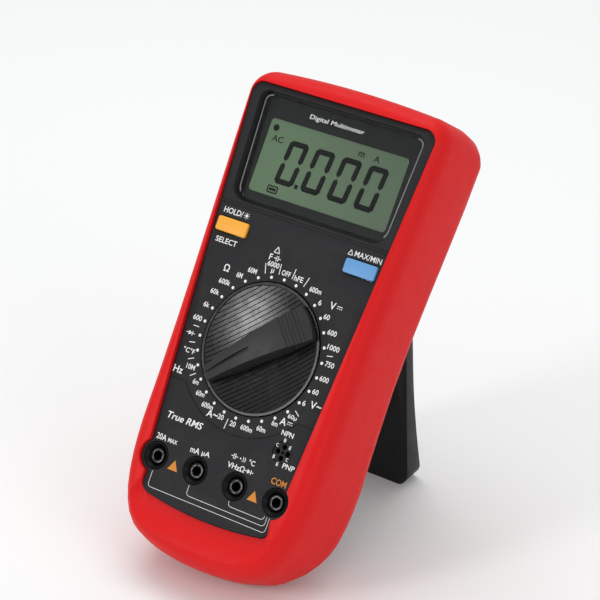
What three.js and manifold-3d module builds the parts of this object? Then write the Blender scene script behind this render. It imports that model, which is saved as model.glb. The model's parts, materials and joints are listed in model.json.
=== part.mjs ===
// Handheld digital multimeter standing on its tilt stand.
// Every piece is built lying flat (X right, Y up the face, Z out of the face, origin at the dial
// centre on the panel plane). The whole meter is then leaned back onto its stand.
// All lengths are millimetres.
import * as THREE from 'three';
import { ConvexGeometry } from 'three/addons/geometries/ConvexGeometry.js';
import { mergeVertices } from 'three/addons/utils/BufferGeometryUtils.js';
import Module from 'manifold-3d';

const wasm = await Module();
wasm.setup();

// ---------------------------------------------------------------- driving dimensions

const deg = Math.PI / 180;
const gap = 0.3; // air left between pieces that touch
const slide = 0.35; // running clearance round moving pieces
const bite = 0.5; // overlap of solids that are joined into one piece
const reach = 300; // longer than anything that is cut

const body = {
  top: 100.9, bottom: -83.2, topHalf: 43.9, waistHalf: 40.6, waistY: -38, topDrop: 1.3,
  cornerRadius: 10, shoulderHalf: 29, shoulderRise: 6, front: 1.6, back: -40, waistBack: -35.7,
  waistBackY: 12, topBack: -37.8, topBackY: 75, heelRadius: 22, heelFlat: 0.3, heelBulge: 0.08,
  crownRadius: 15,
};
const roundEdge = { side: 6, depth: 9.5, segments: 6 }; // soft outer edges of the holster
const innerEdge = { side: 2, depth: 2, segments: 1 };
const outlineSteps = 7; // straight runs in each curve of an outline
const holsterWall = 3;
const caseWall = 2.2;
const lean = 34.4 * deg;

const panel = {
  top: 93.7, topHalf: 40.4, cornerRadius: 4.3, sideBow: 0.8, neckBeyondJack: 3.95, neckY: -44,
  bulgeRadius: 6.3, tongueBeyondJack: 1.6, bottom: -65.8, bottomLift: 2.1, tongueCorner: 3.7,
  thickness: 2.2, splitDepth: 10, lipDepth: 2.2,
};
const scoop = { half: 29, low: -77.5, lip: 0.9, flare: 4.5, rise: 7 };

const lens = {
  top: 90.5, bottom: 50.3, topHalf: 35.3, bottomHalf: 33.5, topCorner: 2.5, bottomCorner: 5,
  face: -2.2, thickness: 1.7, margin: 1.1,
};
const display = {
  y: 68.3, glassWidth: 65, glassHeight: 34, glassThickness: 2.2, backlightThickness: 2.4,
  backlightHeight: 28, zebraWidth: 2.4, frameWall: 2,
};
const key = { x: 28.75, y: 39, width: 13.8, height: 5.5, radius: 0.8, proud: 0.8, travel: 1, skirt: 1 };
const keySwitch = { side: 6, height: 3.5, plunger: 1.6, plungerHeight: 0.6 };

const dial = { recess: 25.2, floor: -3.5, floorThickness: 1.5, wall: 1.6 };
const knob = {
  rim: 0.3, rimWidth: 1.2, dish: 1.5, base: 1.6, barTop: 6.3, barEndTop: 2.6,
  wideHalf: 7, narrowHalf: 2.8, endInset: 1.4, shaft: 5, shaftBore: 3.2, pointerAngle: 228,
};
const rotor = { radius: 20.4, thickness: 4 };
const detent = { notches: 30, notchRadius: 1, ball: 1.5, springRadius: 1.2, springLength: 5, wall: 1.8 };
const wiper = { count: 3, length: 9, width: 2.4, thickness: 0.3, arch: 0.6 };

const board = { thickness: 1.6, face: -11.4, edgeGap: 0.6 };
const rearFace = -33.3;
const jack = {
  pitch: 18.1, y: -49.8, collar: 5.1, well: 3.5, mouth: 4.7, mouthDepth: 1.6,
  tube: 2.5, bore: 2, tubeTop: -1.6, tubeLength: 19, tubeFloor: 1.2, sunk: 0.2,
};
const socket = { x: 23.2, y: -32.2, radius: 3.9, ring: 2.4, pins: 8, pinBore: 0.45, depth: 8.5 };

const battery = { length: 46.4, width: 26.5, thickness: 17.5, studs: 2, y: -25, snap: 3.6, fit: 0.5 };
const door = { ledge: 1.5, tab: 8.5, screwInset: 4.2, counterbore: 1.1, headHeight: 0.8, screwDepth: 6 };
const screw = {
  head: 2.8, headHeight: 1.8, shank: 1.4, boss: 3.3, post: 4.1, sink: 9, slot: 0.7, slotDepth: 0.7,
};
const screwPlaces = [[32.3, 24], [-32.3, 24], [18, -66], [-18, -66]];

const fuse = { radius: 3.1, length: 30, cap: 6, y: [2, 14], clipWidth: 5, clipWall: 0.6 };
const buzzer = { radius: 8, height: 5.2, x: -20, y: 36 };
const chip = { side: 14, height: 1.6, x: 8, y: 37 };
const capacitor = { radius: 3.2, length: 9, x: 27, y: 30 };
const thermistor = { radius: 4.2, thickness: 2.4, x: 0, y: -64.5 };
const crystal = { length: 10, width: 4.4, height: 3.4, x: 22, y: 46 };
const shunt = { wire: 0.9, y: -58, drop: 6 };

const stand = {
  hingeY: 50, hingeDepth: 2.9, open: 38.3 * deg, half: 25.6, footHalf: 24.2, web: 3, front: 2.1,
  backTop: 2.3, backMid: 2.6, backFoot: 7.4, flange: 4, corner: 7, barrel: 2.5, pocketEnds: 24,
};
const pin = { radius: 1.5, length: 40 };
const lug = { inner: 11, width: 5, radius: 3 };
const backWindow = { half: 30, top: 57, bottom: -59, radius: 8 };

// ---------------------------------------------------------------- worked-out places

const cavityGap = holsterWall + gap;
const panelUnder = -panel.thickness;
const split = -panel.splitDepth;
const rearInside = rearFace + caseWall;
const boardUnder = board.face - board.thickness;
const boardTopRoom = board.face + gap;
const boardLowRoom = boardUnder - gap;
const lensUnder = lens.face - lens.thickness;
const glassTop = lensUnder - gap;
const glassUnder = glassTop - display.glassThickness;
const ledge = { top: lensUnder - gap, under: lensUnder - gap - 1.4 };
const knobRadius = dial.recess - slide - 0.2;
const knobUnder = dial.floor + slide;
const recessUnder = dial.floor - dial.floorThickness;
const rotorTop = recessUnder - slide;
const rotorUnder = rotorTop - rotor.thickness;
const detentTip = rotor.radius + detent.ball * 2 + slide;
const hingeZ = rearFace - stand.hingeDepth;
const heelY = body.bottom + body.heelRadius;
const heelZ = body.back + body.heelRadius;
const crownY = body.top - body.crownRadius;
const crownZ = body.back + body.crownRadius;
const upY = Math.cos(lean);
const upZ = Math.sin(lean);
const heelReach = body.heelRadius * Math.hypot((1 + body.heelBulge) * upY, upZ);
const floorLevel = heelY * upY + heelZ * upZ - heelReach + body.heelFlat;
const batteryTop = boardLowRoom - gap;
const batteryBox = {
  left: -(battery.length + battery.studs + battery.snap) / 2 - battery.fit,
  right: (battery.length + battery.studs + battery.snap) / 2 + battery.fit,
  low: battery.y - battery.width / 2 - battery.fit,
  high: battery.y + battery.width / 2 + battery.fit,
  wall: door.ledge + caseWall,
};

// ---------------------------------------------------------------- shape helpers

const Solid = wasm.Manifold;

function solid(geometry) {
  const bare = geometry.index ? geometry.toNonIndexed() : geometry.clone();
  bare.deleteAttribute('normal');
  bare.deleteAttribute('uv');
  const merged = mergeVertices(bare, 1e-4);
  return new Solid(new wasm.Mesh({
    numProp: 3,
    vertProperties: new Float32Array(merged.attributes.position.array),
    triVerts: new Uint32Array(merged.index.array),
  }));
}

function prism(shape, low, high, curveSegments = 6) {
  const settings = { depth: high - low, bevelEnabled: false, curveSegments };
  return solid(new THREE.ExtrudeGeometry(shape, settings).translate(0, 0, low));
}

function box(x0, x1, y0, y1, z0, z1) {
  const geometry = new THREE.BoxGeometry(x1 - x0, y1 - y0, z1 - z0);
  return solid(geometry.translate((x0 + x1) / 2, (y0 + y1) / 2, (z0 + z1) / 2));
}

function slab(low, high) {
  return box(-reach, reach, -reach, reach, low, high);
}

function disc(radius, low, high, x = 0, y = 0, sides = 28, topRadius = radius) {
  const geometry = new THREE.CylinderGeometry(topRadius, radius, high - low, sides);
  return solid(geometry.rotateX(90 * deg).translate(x, y, (low + high) / 2));
}

function rodX(radius, x0, x1, y, z, sides = 16) {
  const geometry = new THREE.CylinderGeometry(radius, radius, x1 - x0, sides);
  return solid(geometry.rotateZ(90 * deg).translate((x0 + x1) / 2, y, z));
}

function acrossX(shape, x0, x1, curveSegments = 6) {
  const settings = { depth: x1 - x0, bevelEnabled: false, curveSegments };
  const geometry = new THREE.ExtrudeGeometry(shape, settings);
  return solid(geometry.rotateY(90 * deg).rotateX(90 * deg).translate(x0, 0, 0));
}

function roundedRect(width, height, radius, x = 0, y = 0) {
  const [w, h] = [width / 2, height / 2];
  const shape = new THREE.Shape();
  shape.moveTo(x - w + radius, y - h);
  shape.absarc(x + w - radius, y - h + radius, radius, -90 * deg, 0);
  shape.absarc(x + w - radius, y + h - radius, radius, 0, 90 * deg);
  shape.absarc(x - w + radius, y + h - radius, radius, 90 * deg, 180 * deg);
  shape.absarc(x - w + radius, y - h + radius, radius, 180 * deg, 270 * deg);
  return shape;
}

function mirrored(path, divisions) {
  const half = path.getPoints(divisions);
  const other = half.slice(1, -1).reverse().map((p) => new THREE.Vector2(-p.x, p.y));
  return half.concat(other).reverse();
}

function offsetOutline(points, distance) {
  return points.map((point, i) => {
    const before = points[(i + points.length - 1) % points.length];
    const after = points[(i + 1) % points.length];
    const one = new THREE.Vector2(point.y - before.y, before.x - point.x).normalize();
    const two = new THREE.Vector2(after.y - point.y, point.x - after.x).normalize();
    const push = one.clone().add(two).multiplyScalar(distance / (1 + one.dot(two)));
    return point.clone().add(push);
  });
}

function joined(first, ...others) {
  return others.reduce((sum, other) => sum.add(other), first);
}

function cut(first, ...others) {
  return others.reduce((rest, other) => rest.subtract(other), first);
}

// ---------------------------------------------------------------- outlines

function bodyOutline(grow = 0) {
  const path = new THREE.Path();
  const shoulder = body.top - body.topDrop;
  const cornerX = body.topHalf - body.cornerRadius;
  const cornerY = shoulder - body.cornerRadius;
  const shoulderY = body.bottom + body.shoulderRise;
  const span = cornerY - body.waistY;
  path.moveTo(0, body.top);
  path.quadraticCurveTo(cornerX / 2, body.top, cornerX, shoulder);
  path.absarc(cornerX, cornerY, body.cornerRadius, 90 * deg, 0, true);
  path.bezierCurveTo(body.topHalf - 1, cornerY - 0.31 * span, body.waistHalf - 0.2,
    body.waistY + 0.375 * span, body.waistHalf, body.waistY);
  path.bezierCurveTo(body.waistHalf - 0.3, body.waistY - 17, body.waistHalf - 3.2,
    shoulderY + 6, body.shoulderHalf, shoulderY);
  path.bezierCurveTo(body.shoulderHalf - 7, shoulderY - 4.5, 10, body.bottom, 0, body.bottom);
  return offsetOutline(mirrored(path, outlineSteps), grow);
}

function panelOutline(grow = 0) {
  const path = new THREE.Path();
  const corner = panel.cornerRadius + grow;
  const half = panel.topHalf + grow;
  const top = panel.top + grow;
  const bulge = panel.bulgeRadius + grow;
  const jackX = 1.5 * jack.pitch;
  const neck = jackX + panel.neckBeyondJack + grow;
  const neckAngle = Math.acos((neck - jackX) / bulge);
  const tongue = jackX + panel.tongueBeyondJack + grow;
  const tongueAngle = -Math.acos((tongue - jackX) / bulge);
  const low = panel.bottom + panel.bottomLift - grow;
  const lowCorner = panel.tongueCorner + grow;
  path.moveTo(0, top);
  path.lineTo(half - corner, top);
  path.absarc(half - corner, top - corner, corner, 90 * deg, 0, true);
  path.quadraticCurveTo((half + neck) / 2 + panel.sideBow, (top + panel.neckY) / 2, neck,
    jack.y + bulge * Math.sin(neckAngle));
  path.absarc(jackX, jack.y, bulge, neckAngle, tongueAngle, true);
  path.absarc(tongue - lowCorner, low + lowCorner, lowCorner, 0, -80 * deg, true);
  path.quadraticCurveTo((tongue - lowCorner) / 2, panel.bottom - grow, 0, panel.bottom - grow);
  return mirrored(path, 4);
}

function lensOutline(grow = 0) {
  const [top, bottom] = [lens.top + grow, lens.bottom - grow];
  const [topHalf, bottomHalf] = [lens.topHalf + grow, lens.bottomHalf + grow];
  const [topCorner, bottomCorner] = [lens.topCorner + grow, lens.bottomCorner + grow];
  const path = new THREE.Path();
  path.moveTo(0, top);
  path.lineTo(topHalf - topCorner, top);
  path.absarc(topHalf - topCorner, top - topCorner, topCorner, 90 * deg, 0, true);
  path.absarc(bottomHalf - bottomCorner, bottom + bottomCorner, bottomCorner, 0, -90 * deg, true);
  path.lineTo(0, bottom);
  return mirrored(path, 4);
}

function backLine() {
  const points = [
    [body.bottom, body.back], [-40, body.back], [body.waistBackY, body.waistBack],
    [body.topBackY, body.topBack], [body.top, body.topBack + 1],
  ];
  return new THREE.SplineCurve(points.map(([y, z]) => new THREE.Vector2(y, z))).getPoints(40);
}

const backPoints = backLine();

function waveAt(y) {
  const next = backPoints.findIndex((point) => point.x > y);
  if (next <= 0) return y < 0 ? body.back : body.topBack + 1;
  const [low, high] = [backPoints[next - 1], backPoints[next]];
  return THREE.MathUtils.mapLinear(y, low.x, high.x, low.y, high.y);
}

// A block of the body's outline with rounded edges, its bottom rolled in towards the back.
// With a wave, its back follows the hollow of the holster's back.
function bodyBlock(grow, back, edge, wave = false) {
  const settings = {
    depth: body.front - back - 2 * edge.depth, steps: 3, bevelEnabled: true, bevelSegments: edge.segments,
    bevelThickness: edge.depth, bevelSize: edge.side, bevelOffset: -edge.side,
  };
  const geometry = new THREE.ExtrudeGeometry(new THREE.Shape(bodyOutline(grow)), settings);
  geometry.translate(0, 0, back + edge.depth);
  const points = geometry.attributes.position;
  const middle = back / 2;
  for (let i = 0; i < points.count; i += 1) {
    const [y, z] = [points.getY(i), points.getZ(i)];
    const [heel, crown] = [body.heelRadius + grow, body.crownRadius + grow];
    const bulged = 1 + body.heelBulge * THREE.MathUtils.clamp(z / heelZ, 0, 1);
    if (y < heelY) points.setY(i, heelY + (y - heelY) * bulged * rolled((heelZ - z) / heel));
    if (y > crownY) points.setY(i, crownY + (y - crownY) * rolled((crownZ - z) / crown));
    if (wave && z < middle) points.setZ(i, middle + (z - middle) * (waveAt(y) - middle) / (back - middle));
  }
  return solid(geometry);
}

// How much of an edge is left at a share of the way round its rolled corner.
function rolled(share) {
  return Math.sqrt(1 - THREE.MathUtils.clamp(share, 0, 0.97) ** 2);
}

function belowFloor() {
  const geometry = new THREE.BoxGeometry(reach, reach, reach).translate(0, 0, floorLevel - reach / 2);
  return solid(geometry.rotateX(lean - 90 * deg));
}

// ---------------------------------------------------------------- housing

const jackPlaces = [-1.5, -0.5, 0.5, 1.5].map((step) => step * jack.pitch);

function holster() {
  const outside = bodyBlock(0, body.back, roundEdge, true);
  const room = bodyBlock(-holsterWall, rearFace - gap, innerEdge);
  const inside = room.intersect(slab(-reach, gap - panel.lipDepth));
  const front = prism(new THREE.Shape(panelOutline(gap)), -panel.splitDepth, reach);
  const { half, top, bottom, radius } = backWindow;
  const window = roundedRect(2 * half, top - bottom, radius, 0, (top + bottom) / 2);
  const back = prism(window, -reach, -panel.splitDepth);
  return cut(outside, inside, front, back, scoopCutter(), belowFloor());
}

// A hollow with sloping sides, from the panel's lower edge down to the rim.
function scoopCutter() {
  const top = panel.bottom + panel.bottomLift;
  const deep = panel.lipDepth - gap - scoop.lip;
  const over = body.front + bite;
  const { half, low, flare, rise } = scoop;
  const corners = [
    [half - 1, top, -deep], [half - 5, (top + low) / 2, -deep], [half + flare, top - 2.5, over],
    [half + 1, low + 2.5, over], [half - 9, low, over], [half + gap, top + rise, over],
  ];
  const points = corners.flatMap(([x, y, z]) => [new THREE.Vector3(x, y, z), new THREE.Vector3(-x, y, z)]);
  return solid(new ConvexGeometry(points));
}

function frontCase() {
  const outer = new THREE.Shape(bodyOutline(-cavityGap));
  const inner = new THREE.Shape(bodyOutline(-cavityGap - caseWall));
  const skirtTop = -panel.lipDepth;
  const skirt = prism(outer, split, skirtTop).subtract(prism(inner, split - 1, skirtTop - caseWall));
  const raised = prism(new THREE.Shape(panelOutline()), skirtTop - bite, 0);
  const hollow = prism(new THREE.Shape(panelOutline(-caseWall)), split, panelUnder);
  const shell = skirt.add(raised).subtract(hollow.intersect(prism(inner, split - 1, reach)));
  const plate = new THREE.Shape(lensOutline(lens.margin + 1));
  const cup = disc(dial.recess + dial.wall, recessUnder, panelUnder + bite, 0, 0, 40);
  const bosses = screwPlaces.map(([x, y]) => (
    disc(screw.boss, board.face + 1, panelUnder + bite / 2, x, y, 16)));
  const whole = joined(shell, prism(plate, ledge.under, panelUnder + bite), cup, detentRing(), ...bosses);
  return cut(whole, ...panelOpenings());
}

function panelOpenings() {
  const cuts = [
    prism(new THREE.Shape(lensOutline(lens.margin)), ledge.top, reach),
    box(-display.glassWidth / 2 - gap, display.glassWidth / 2 + gap,
      display.y - display.glassHeight / 2 - gap, display.y + display.glassHeight / 2 + gap, -50, 0),
    disc(dial.recess, dial.floor, reach, 0, 0, 48),
    disc(knob.shaft + slide, -50, 0, 0, 0, 24),
    disc(socket.radius + gap, -50, reach, socket.x, socket.y, 20),
  ];
  for (const x of jackPlaces) cuts.push(disc(jack.collar + gap, -50, reach, x, jack.y, 24));
  for (const side of [-1, 1]) {
    cuts.push(prism(roundedRect(key.width + 2 * slide, key.height + 2 * slide, key.radius + slide,
      side * key.x, key.y), -50, reach, 3));
  }
  for (const [x, y] of screwPlaces) cuts.push(disc(screw.shank + gap, -50, panelUnder - 1, x, y, 12));
  return cuts;
}

function detentRing() {
  const hole = new THREE.Shape();
  const step = 360 / detent.notches;
  const half = (detent.notchRadius / detentTip) / deg;
  const deepest = detentTip + detent.notchRadius * 0.6;
  for (let i = 0; i < detent.notches; i += 1) {
    const middle = (i + 1) * step * deg;
    hole.absarc(0, 0, detentTip, (i * step + half) * deg, ((i + 1) * step - half) * deg, false);
    hole.lineTo(deepest * Math.cos(middle), deepest * Math.sin(middle));
  }
  const ring = disc(detentTip + detent.wall, rotorUnder + bite, recessUnder + bite, 0, 0, 36);
  return ring.subtract(prism(hole, -reach / 4, 0, 1));
}

function rearCase() {
  const outer = bodyBlock(-cavityGap, rearFace, innerEdge).intersect(slab(-reach, split - gap));
  const shell = outer.subtract(bodyBlock(-cavityGap - caseWall, rearInside, innerEdge));
  const { left, right, low, high, wall } = batteryBox;
  const walls = box(left - wall, right + wall, low - wall, high + wall, rearInside - bite, boardLowRoom - 1);
  const posts = screwPlaces.map(([x, y]) => disc(screw.post, rearInside - bite, boardLowRoom, x, y, 18));
  const doorBoss = disc(screw.post, rearInside - bite, rearInside + 9, 0, doorScrewY(), 18);
  const lugs = [-1, 1].map((side) => hingeLug(side));
  const whole = joined(shell, walls, doorBoss, ...posts, ...lugs);
  const doorHole = doorPlan(gap);
  const cuts = [
    box(left, right, low, high, -reach / 4, 0),
    prism(doorHole, -reach / 4, rearInside, 3),
    disc(screw.shank + gap, rearInside - 1, rearInside + door.screwDepth + 1, 0, doorScrewY(), 12),
    rodX(pin.radius + gap, -reach / 4, reach / 4, stand.hingeY, hingeZ),
  ];
  for (const [x, y] of screwPlaces) {
    cuts.push(disc(screw.head + gap, -reach / 4, rearFace + screw.sink, x, y, 16));
    cuts.push(disc(screw.shank + gap, -reach / 4, 0, x, y, 12));
  }
  return cut(whole, ...cuts);
}

function hingeLug(side) {
  const x0 = side * lug.inner - (side < 0 ? lug.width : 0);
  const round = rodX(lug.radius, x0, x0 + lug.width, stand.hingeY, hingeZ);
  const foot = box(x0, x0 + lug.width, stand.hingeY - lug.radius, stand.hingeY + lug.radius, hingeZ,
    rearFace + bite);
  return round.add(foot);
}

function doorScrewY() {
  return batteryBox.low - door.screwInset;
}

function doorPlan(grow) {
  const { left, right, low, high } = batteryBox;
  const [bottom, top] = [low - door.tab, high + door.ledge];
  const width = right - left + 2 * door.ledge;
  const middle = [(left + right) / 2, (top + bottom) / 2];
  return roundedRect(width + 2 * grow, top - bottom + 2 * grow, 2 + grow, ...middle);
}

function batteryDoor() {
  const plate = prism(doorPlan(0), rearFace, rearInside - gap, 3);
  const head = disc(screw.head + gap, rearFace - 1, rearFace + door.counterbore, 0, doorScrewY(), 16);
  const hole = disc(screw.shank + gap, rearFace - 1, 0, 0, doorScrewY(), 12);
  return cut(plate, head, hole);
}

function woodScrew(x, y, headLow, tip) {
  const head = disc(screw.head, headLow, headLow + screw.headHeight, x, y, 16);
  const shank = disc(screw.shank, headLow + bite, tip, x, y, 12);
  const [long, thin] = [screw.head * 0.6, screw.slot / 2];
  const deep = headLow + screw.slotDepth;
  const slot = box(x - long, x + long, y - thin, y + thin, headLow - 1, deep);
  const cross = box(x - thin, x + thin, y - long, y + long, headLow - 1, deep);
  return cut(head.add(shank), slot, cross);
}

function doorScrew() {
  const low = rearFace + gap / 3;
  const head = disc(screw.head, low, low + door.headHeight, 0, doorScrewY(), 16);
  const shank = disc(screw.shank, low + gap, rearInside + door.screwDepth, 0, doorScrewY(), 12);
  return head.add(shank);
}

// ---------------------------------------------------------------- display

function lensPlate() {
  const settings = {
    depth: lens.thickness - 0.5, bevelEnabled: true, bevelThickness: 0.5, bevelSize: 0.5,
    bevelOffset: -0.5, bevelSegments: 1,
  };
  const plate = new THREE.ExtrudeGeometry(new THREE.Shape(lensOutline()), settings);
  return solid(plate.translate(0, 0, lensUnder)).intersect(box(-60, 60, 0, 120, lensUnder, 0));
}

function displayGlass() {
  const { glassWidth, glassHeight, y } = display;
  return prism(roundedRect(glassWidth, glassHeight, 0.6, 0, y), glassUnder, glassTop, 2);
}

function displayFrame() {
  const { glassWidth, glassHeight, frameWall, y } = display;
  const outer = roundedRect(glassWidth + 2 * frameWall, glassHeight + 2 * frameWall, 1.5, 0, y);
  const hole = roundedRect(glassWidth + 2 * gap, glassHeight + 2 * gap, 0.6, 0, y);
  const ring = prism(outer, boardTopRoom, ledge.under - gap, 3);
  return ring.subtract(prism(hole, -50, 0, 2));
}

function backlight() {
  const low = glassUnder - gap - display.backlightThickness;
  const plan = roundedRect(display.glassWidth - 1, display.backlightHeight, 0.6, 0, display.y + 2);
  return prism(plan, low, glassUnder - gap, 2);
}

function zebraStrip() {
  const low = display.y - display.glassHeight / 2;
  const half = display.glassWidth / 2 - 1;
  return box(-half, half, low + gap, low + gap + display.zebraWidth, boardTopRoom, glassUnder - gap);
}

// ---------------------------------------------------------------- keys and dial

const keyBottom = board.face + gap + keySwitch.height + keySwitch.plungerHeight + key.travel + gap;

function keyCap(side) {
  const cap = roundedRect(key.width, key.height, key.radius, side * key.x, key.y);
  const settings = {
    depth: key.proud - panelUnder - 0.5 + key.skirt, bevelEnabled: true, bevelThickness: 0.5,
    bevelSize: 0.4, bevelOffset: -0.4, bevelSegments: 1, curveSegments: 3,
  };
  const low = panelUnder - key.skirt;
  const top = solid(new THREE.ExtrudeGeometry(cap, settings).translate(0, 0, low));
  const stem = box(side * key.x - 2.5, side * key.x + 2.5, key.y - 2, key.y + 2, keyBottom, low + bite);
  return top.add(stem);
}

function tactSwitch(side) {
  const half = keySwitch.side / 2;
  const x = side * key.x;
  const low = board.face + gap;
  const base = box(x - half, x + half, key.y - half, key.y + half, low, low + keySwitch.height);
  const top = low + keySwitch.height + keySwitch.plungerHeight;
  return base.add(disc(keySwitch.plunger, low + 1, top, x, key.y, 14));
}

function barPlan() {
  const end = knobRadius - knob.endInset;
  const tip = Math.asin(knob.narrowHalf / end);
  const tail = Math.asin(knob.wideHalf / end);
  const shape = new THREE.Shape();
  shape.absarc(0, 0, end, 90 * deg - tip, 90 * deg + tip);
  shape.absarc(0, 0, end, 270 * deg - tail, 270 * deg + tail);
  return shape;
}

function selectorKnob() {
  const { rim, rimWidth, dish, base, shaft, shaftBore, barTop, barEndTop } = knob;
  const floor = knobUnder + base;
  const profile = [
    [0, knobUnder], [knobRadius, knobUnder], [knobRadius, rim - 0.4], [knobRadius - 0.4, rim],
    [knobRadius - rimWidth, rim], [knobRadius - rimWidth - 1, floor + dish], [knobRadius / 2, floor + 0.3],
    [0, floor],
  ];
  const plate = new THREE.LatheGeometry(profile.map(([r, z]) => new THREE.Vector2(r, z)), 48);
  const crown = new THREE.Shape();
  crown.moveTo(-knobRadius, knobUnder + bite);
  crown.lineTo(knobRadius, knobUnder + bite);
  crown.lineTo(knobRadius, barEndTop);
  crown.quadraticCurveTo(0, 2 * barTop - barEndTop, -knobRadius, barEndTop);
  const arch = acrossX(crown, -knobRadius, knobRadius, 10);
  const bar = prism(barPlan(), -reach / 4, reach / 4, 5).intersect(arch);
  const stem = disc(shaft, rotorUnder + gap, knobUnder + bite, 0, 0, 24);
  const bore = disc(shaftBore, -50, knobUnder + 1, 0, 0, 16);
  return cut(joined(solid(plate.rotateX(90 * deg)), bar, stem), bore);
}

function switchRotor() {
  const plate = disc(rotor.radius, rotorUnder, rotorTop, 0, 0, 40);
  const hub = disc(knob.shaft + gap, -50, 0, 0, 0, 24);
  const room = detent.springLength + gap;
  const pocket = (side) => {
    const ends = [side * (rotor.radius + 1), side * (rotor.radius - room - detent.ball)];
    const middle = (rotorTop + rotorUnder) / 2;
    return rodX(detent.ball + gap, Math.min(...ends), Math.max(...ends), 0, middle, 14);
  };
  return cut(plate, hub, pocket(1), pocket(-1));
}

function detentBall(side) {
  const x = side * (detentTip - slide - detent.ball);
  return solid(new THREE.SphereGeometry(detent.ball, 14, 10).translate(x, 0, (rotorTop + rotorUnder) / 2));
}

function detentSpring(side) {
  const outer = detentTip - slide - 2 * detent.ball - gap;
  const ends = [side * outer, side * (outer - detent.springLength)];
  const [x0, x1] = [Math.min(...ends), Math.max(...ends)];
  const middle = (rotorTop + rotorUnder) / 2;
  const coil = rodX(detent.springRadius, x0, x1, 0, middle, 12);
  return coil.subtract(rodX(detent.springRadius - 0.45, x0 - 1, x1 + 1, 0, middle, 10));
}

function wiperLeaf(index) {
  const { length, width, thickness, arch } = wiper;
  const top = rotorUnder - gap;
  const shape = new THREE.Shape();
  shape.moveTo(-length / 2, -arch);
  shape.quadraticCurveTo(0, arch * 0.6, length / 2, -arch);
  shape.lineTo(length / 2, -arch - thickness);
  shape.quadraticCurveTo(0, arch * 0.6 - thickness, -length / 2, -arch - thickness);
  const geometry = new THREE.ExtrudeGeometry(shape, { depth: width, bevelEnabled: false, curveSegments: 6 });
  geometry.rotateX(90 * deg).translate(0, 9 + index * 4 + width / 2, top);
  return solid(geometry.rotateZ((index * 360 / wiper.count) * deg));
}

// ---------------------------------------------------------------- board, jacks and parts on the board

function mainBoard() {
  const plan = new THREE.Shape(bodyOutline(-cavityGap - caseWall - board.edgeGap));
  const plate = prism(plan, boardUnder, board.face);
  const cuts = screwPlaces.map(([x, y]) => disc(screw.boss + gap, -50, 0, x, y, 16));
  for (const x of jackPlaces) cuts.push(disc(jack.tube + gap, -50, 0, x, jack.y, 16));
  return cut(plate, ...cuts);
}

function jackCollar(x) {
  const points = [
    [jack.well, boardTopRoom], [jack.collar, boardTopRoom], [jack.collar, -jack.sunk],
    [jack.mouth, -jack.sunk], [jack.well, -jack.sunk - jack.mouthDepth], [jack.well, boardTopRoom],
  ].map(([r, z]) => new THREE.Vector2(r, z));
  return solid(new THREE.LatheGeometry(points, 24).rotateX(90 * deg).translate(x, jack.y, 0));
}

function jackTube(x) {
  const low = jack.tubeTop - jack.tubeLength;
  const points = [
    [0, low], [jack.tube, low], [jack.tube, jack.tubeTop], [jack.bore, jack.tubeTop],
    [jack.bore, low + jack.tubeFloor], [0, low + jack.tubeFloor],
  ].map(([r, z]) => new THREE.Vector2(r, z));
  return solid(new THREE.LatheGeometry(points, 20).rotateX(90 * deg).translate(x, jack.y, 0));
}

function transistorSocket() {
  const { x, y, radius, ring, pins, pinBore, depth } = socket;
  const plug = disc(radius, -depth, -jack.sunk, x, y, 20);
  const holes = [];
  for (let i = 0; i < pins; i += 1) {
    const angle = (i + 0.5) * 360 / pins * deg;
    const [px, py] = [x + ring * Math.cos(angle), y + ring * Math.sin(angle)];
    holes.push(disc(pinBore, -5, reach, px, py, 6));
  }
  return cut(plug, ...holes);
}

function fuseTube(y) {
  const z = fuseLevel();
  const half = fuse.length / 2;
  const tube = rodX(fuse.radius - 0.2, -half + 1, half - 1, y, z, 16);
  const caps = [-1, 1].map((side) => {
    const ends = [side * half, side * (half - fuse.cap)];
    return rodX(fuse.radius, Math.min(...ends), Math.max(...ends), y, z, 16);
  });
  return joined(tube, ...caps);
}

function fuseLevel() {
  return boardLowRoom - fuse.clipWall - gap - fuse.radius;
}

function fuseClip(side, y) {
  const inner = fuse.radius + gap;
  const outer = inner + fuse.clipWall;
  const z = fuseLevel();
  const shape = new THREE.Shape();
  shape.moveTo(y - outer, z - fuse.radius * 0.6);
  shape.lineTo(y - inner, z - fuse.radius * 0.6);
  shape.lineTo(y - inner, z);
  shape.absarc(y, z, inner, 180 * deg, 0, true);
  shape.lineTo(y + inner, z - fuse.radius * 0.6);
  shape.lineTo(y + outer, z - fuse.radius * 0.6);
  shape.lineTo(y + outer, z);
  shape.absarc(y, z, outer, 0, 180 * deg);
  const middle = side * (fuse.length - fuse.cap) / 2;
  return acrossX(shape, middle - fuse.clipWidth / 2, middle + fuse.clipWidth / 2, 5);
}

function shuntWire() {
  const [left, right] = [jackPlaces[0], jackPlaces[3]];
  const high = boardLowRoom;
  const low = high - shunt.drop;
  const at = (x, z) => new THREE.Vector3(x, shunt.y, z);
  const path = new THREE.CatmullRomCurve3([
    at(left, high), at(left, low + 1), at(left + 3, low),
    at(right - 3, low), at(right, low + 1), at(right, high),
  ]);
  const shape = new THREE.Shape().absarc(0, 0, shunt.wire, 0, 360 * deg);
  const settings = { steps: 24, extrudePath: path, curveSegments: 4 };
  return solid(new THREE.ExtrudeGeometry(shape, settings));
}

function batteryCell() {
  const left = batteryBox.left + battery.fit;
  const right = left + battery.length;
  const [low, high] = [battery.y - battery.width / 2, battery.y + battery.width / 2];
  const middle = batteryTop - battery.thickness / 2;
  const cell = box(left, right, low, high, batteryTop - battery.thickness, batteryTop);
  const studs = [-1, 1].map((side) => {
    const y = battery.y + side * 6.3;
    return rodX(side < 0 ? 2.8 : 2.1, right - 1, right + battery.studs, y, middle, 14);
  });
  return joined(cell, ...studs);
}

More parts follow.
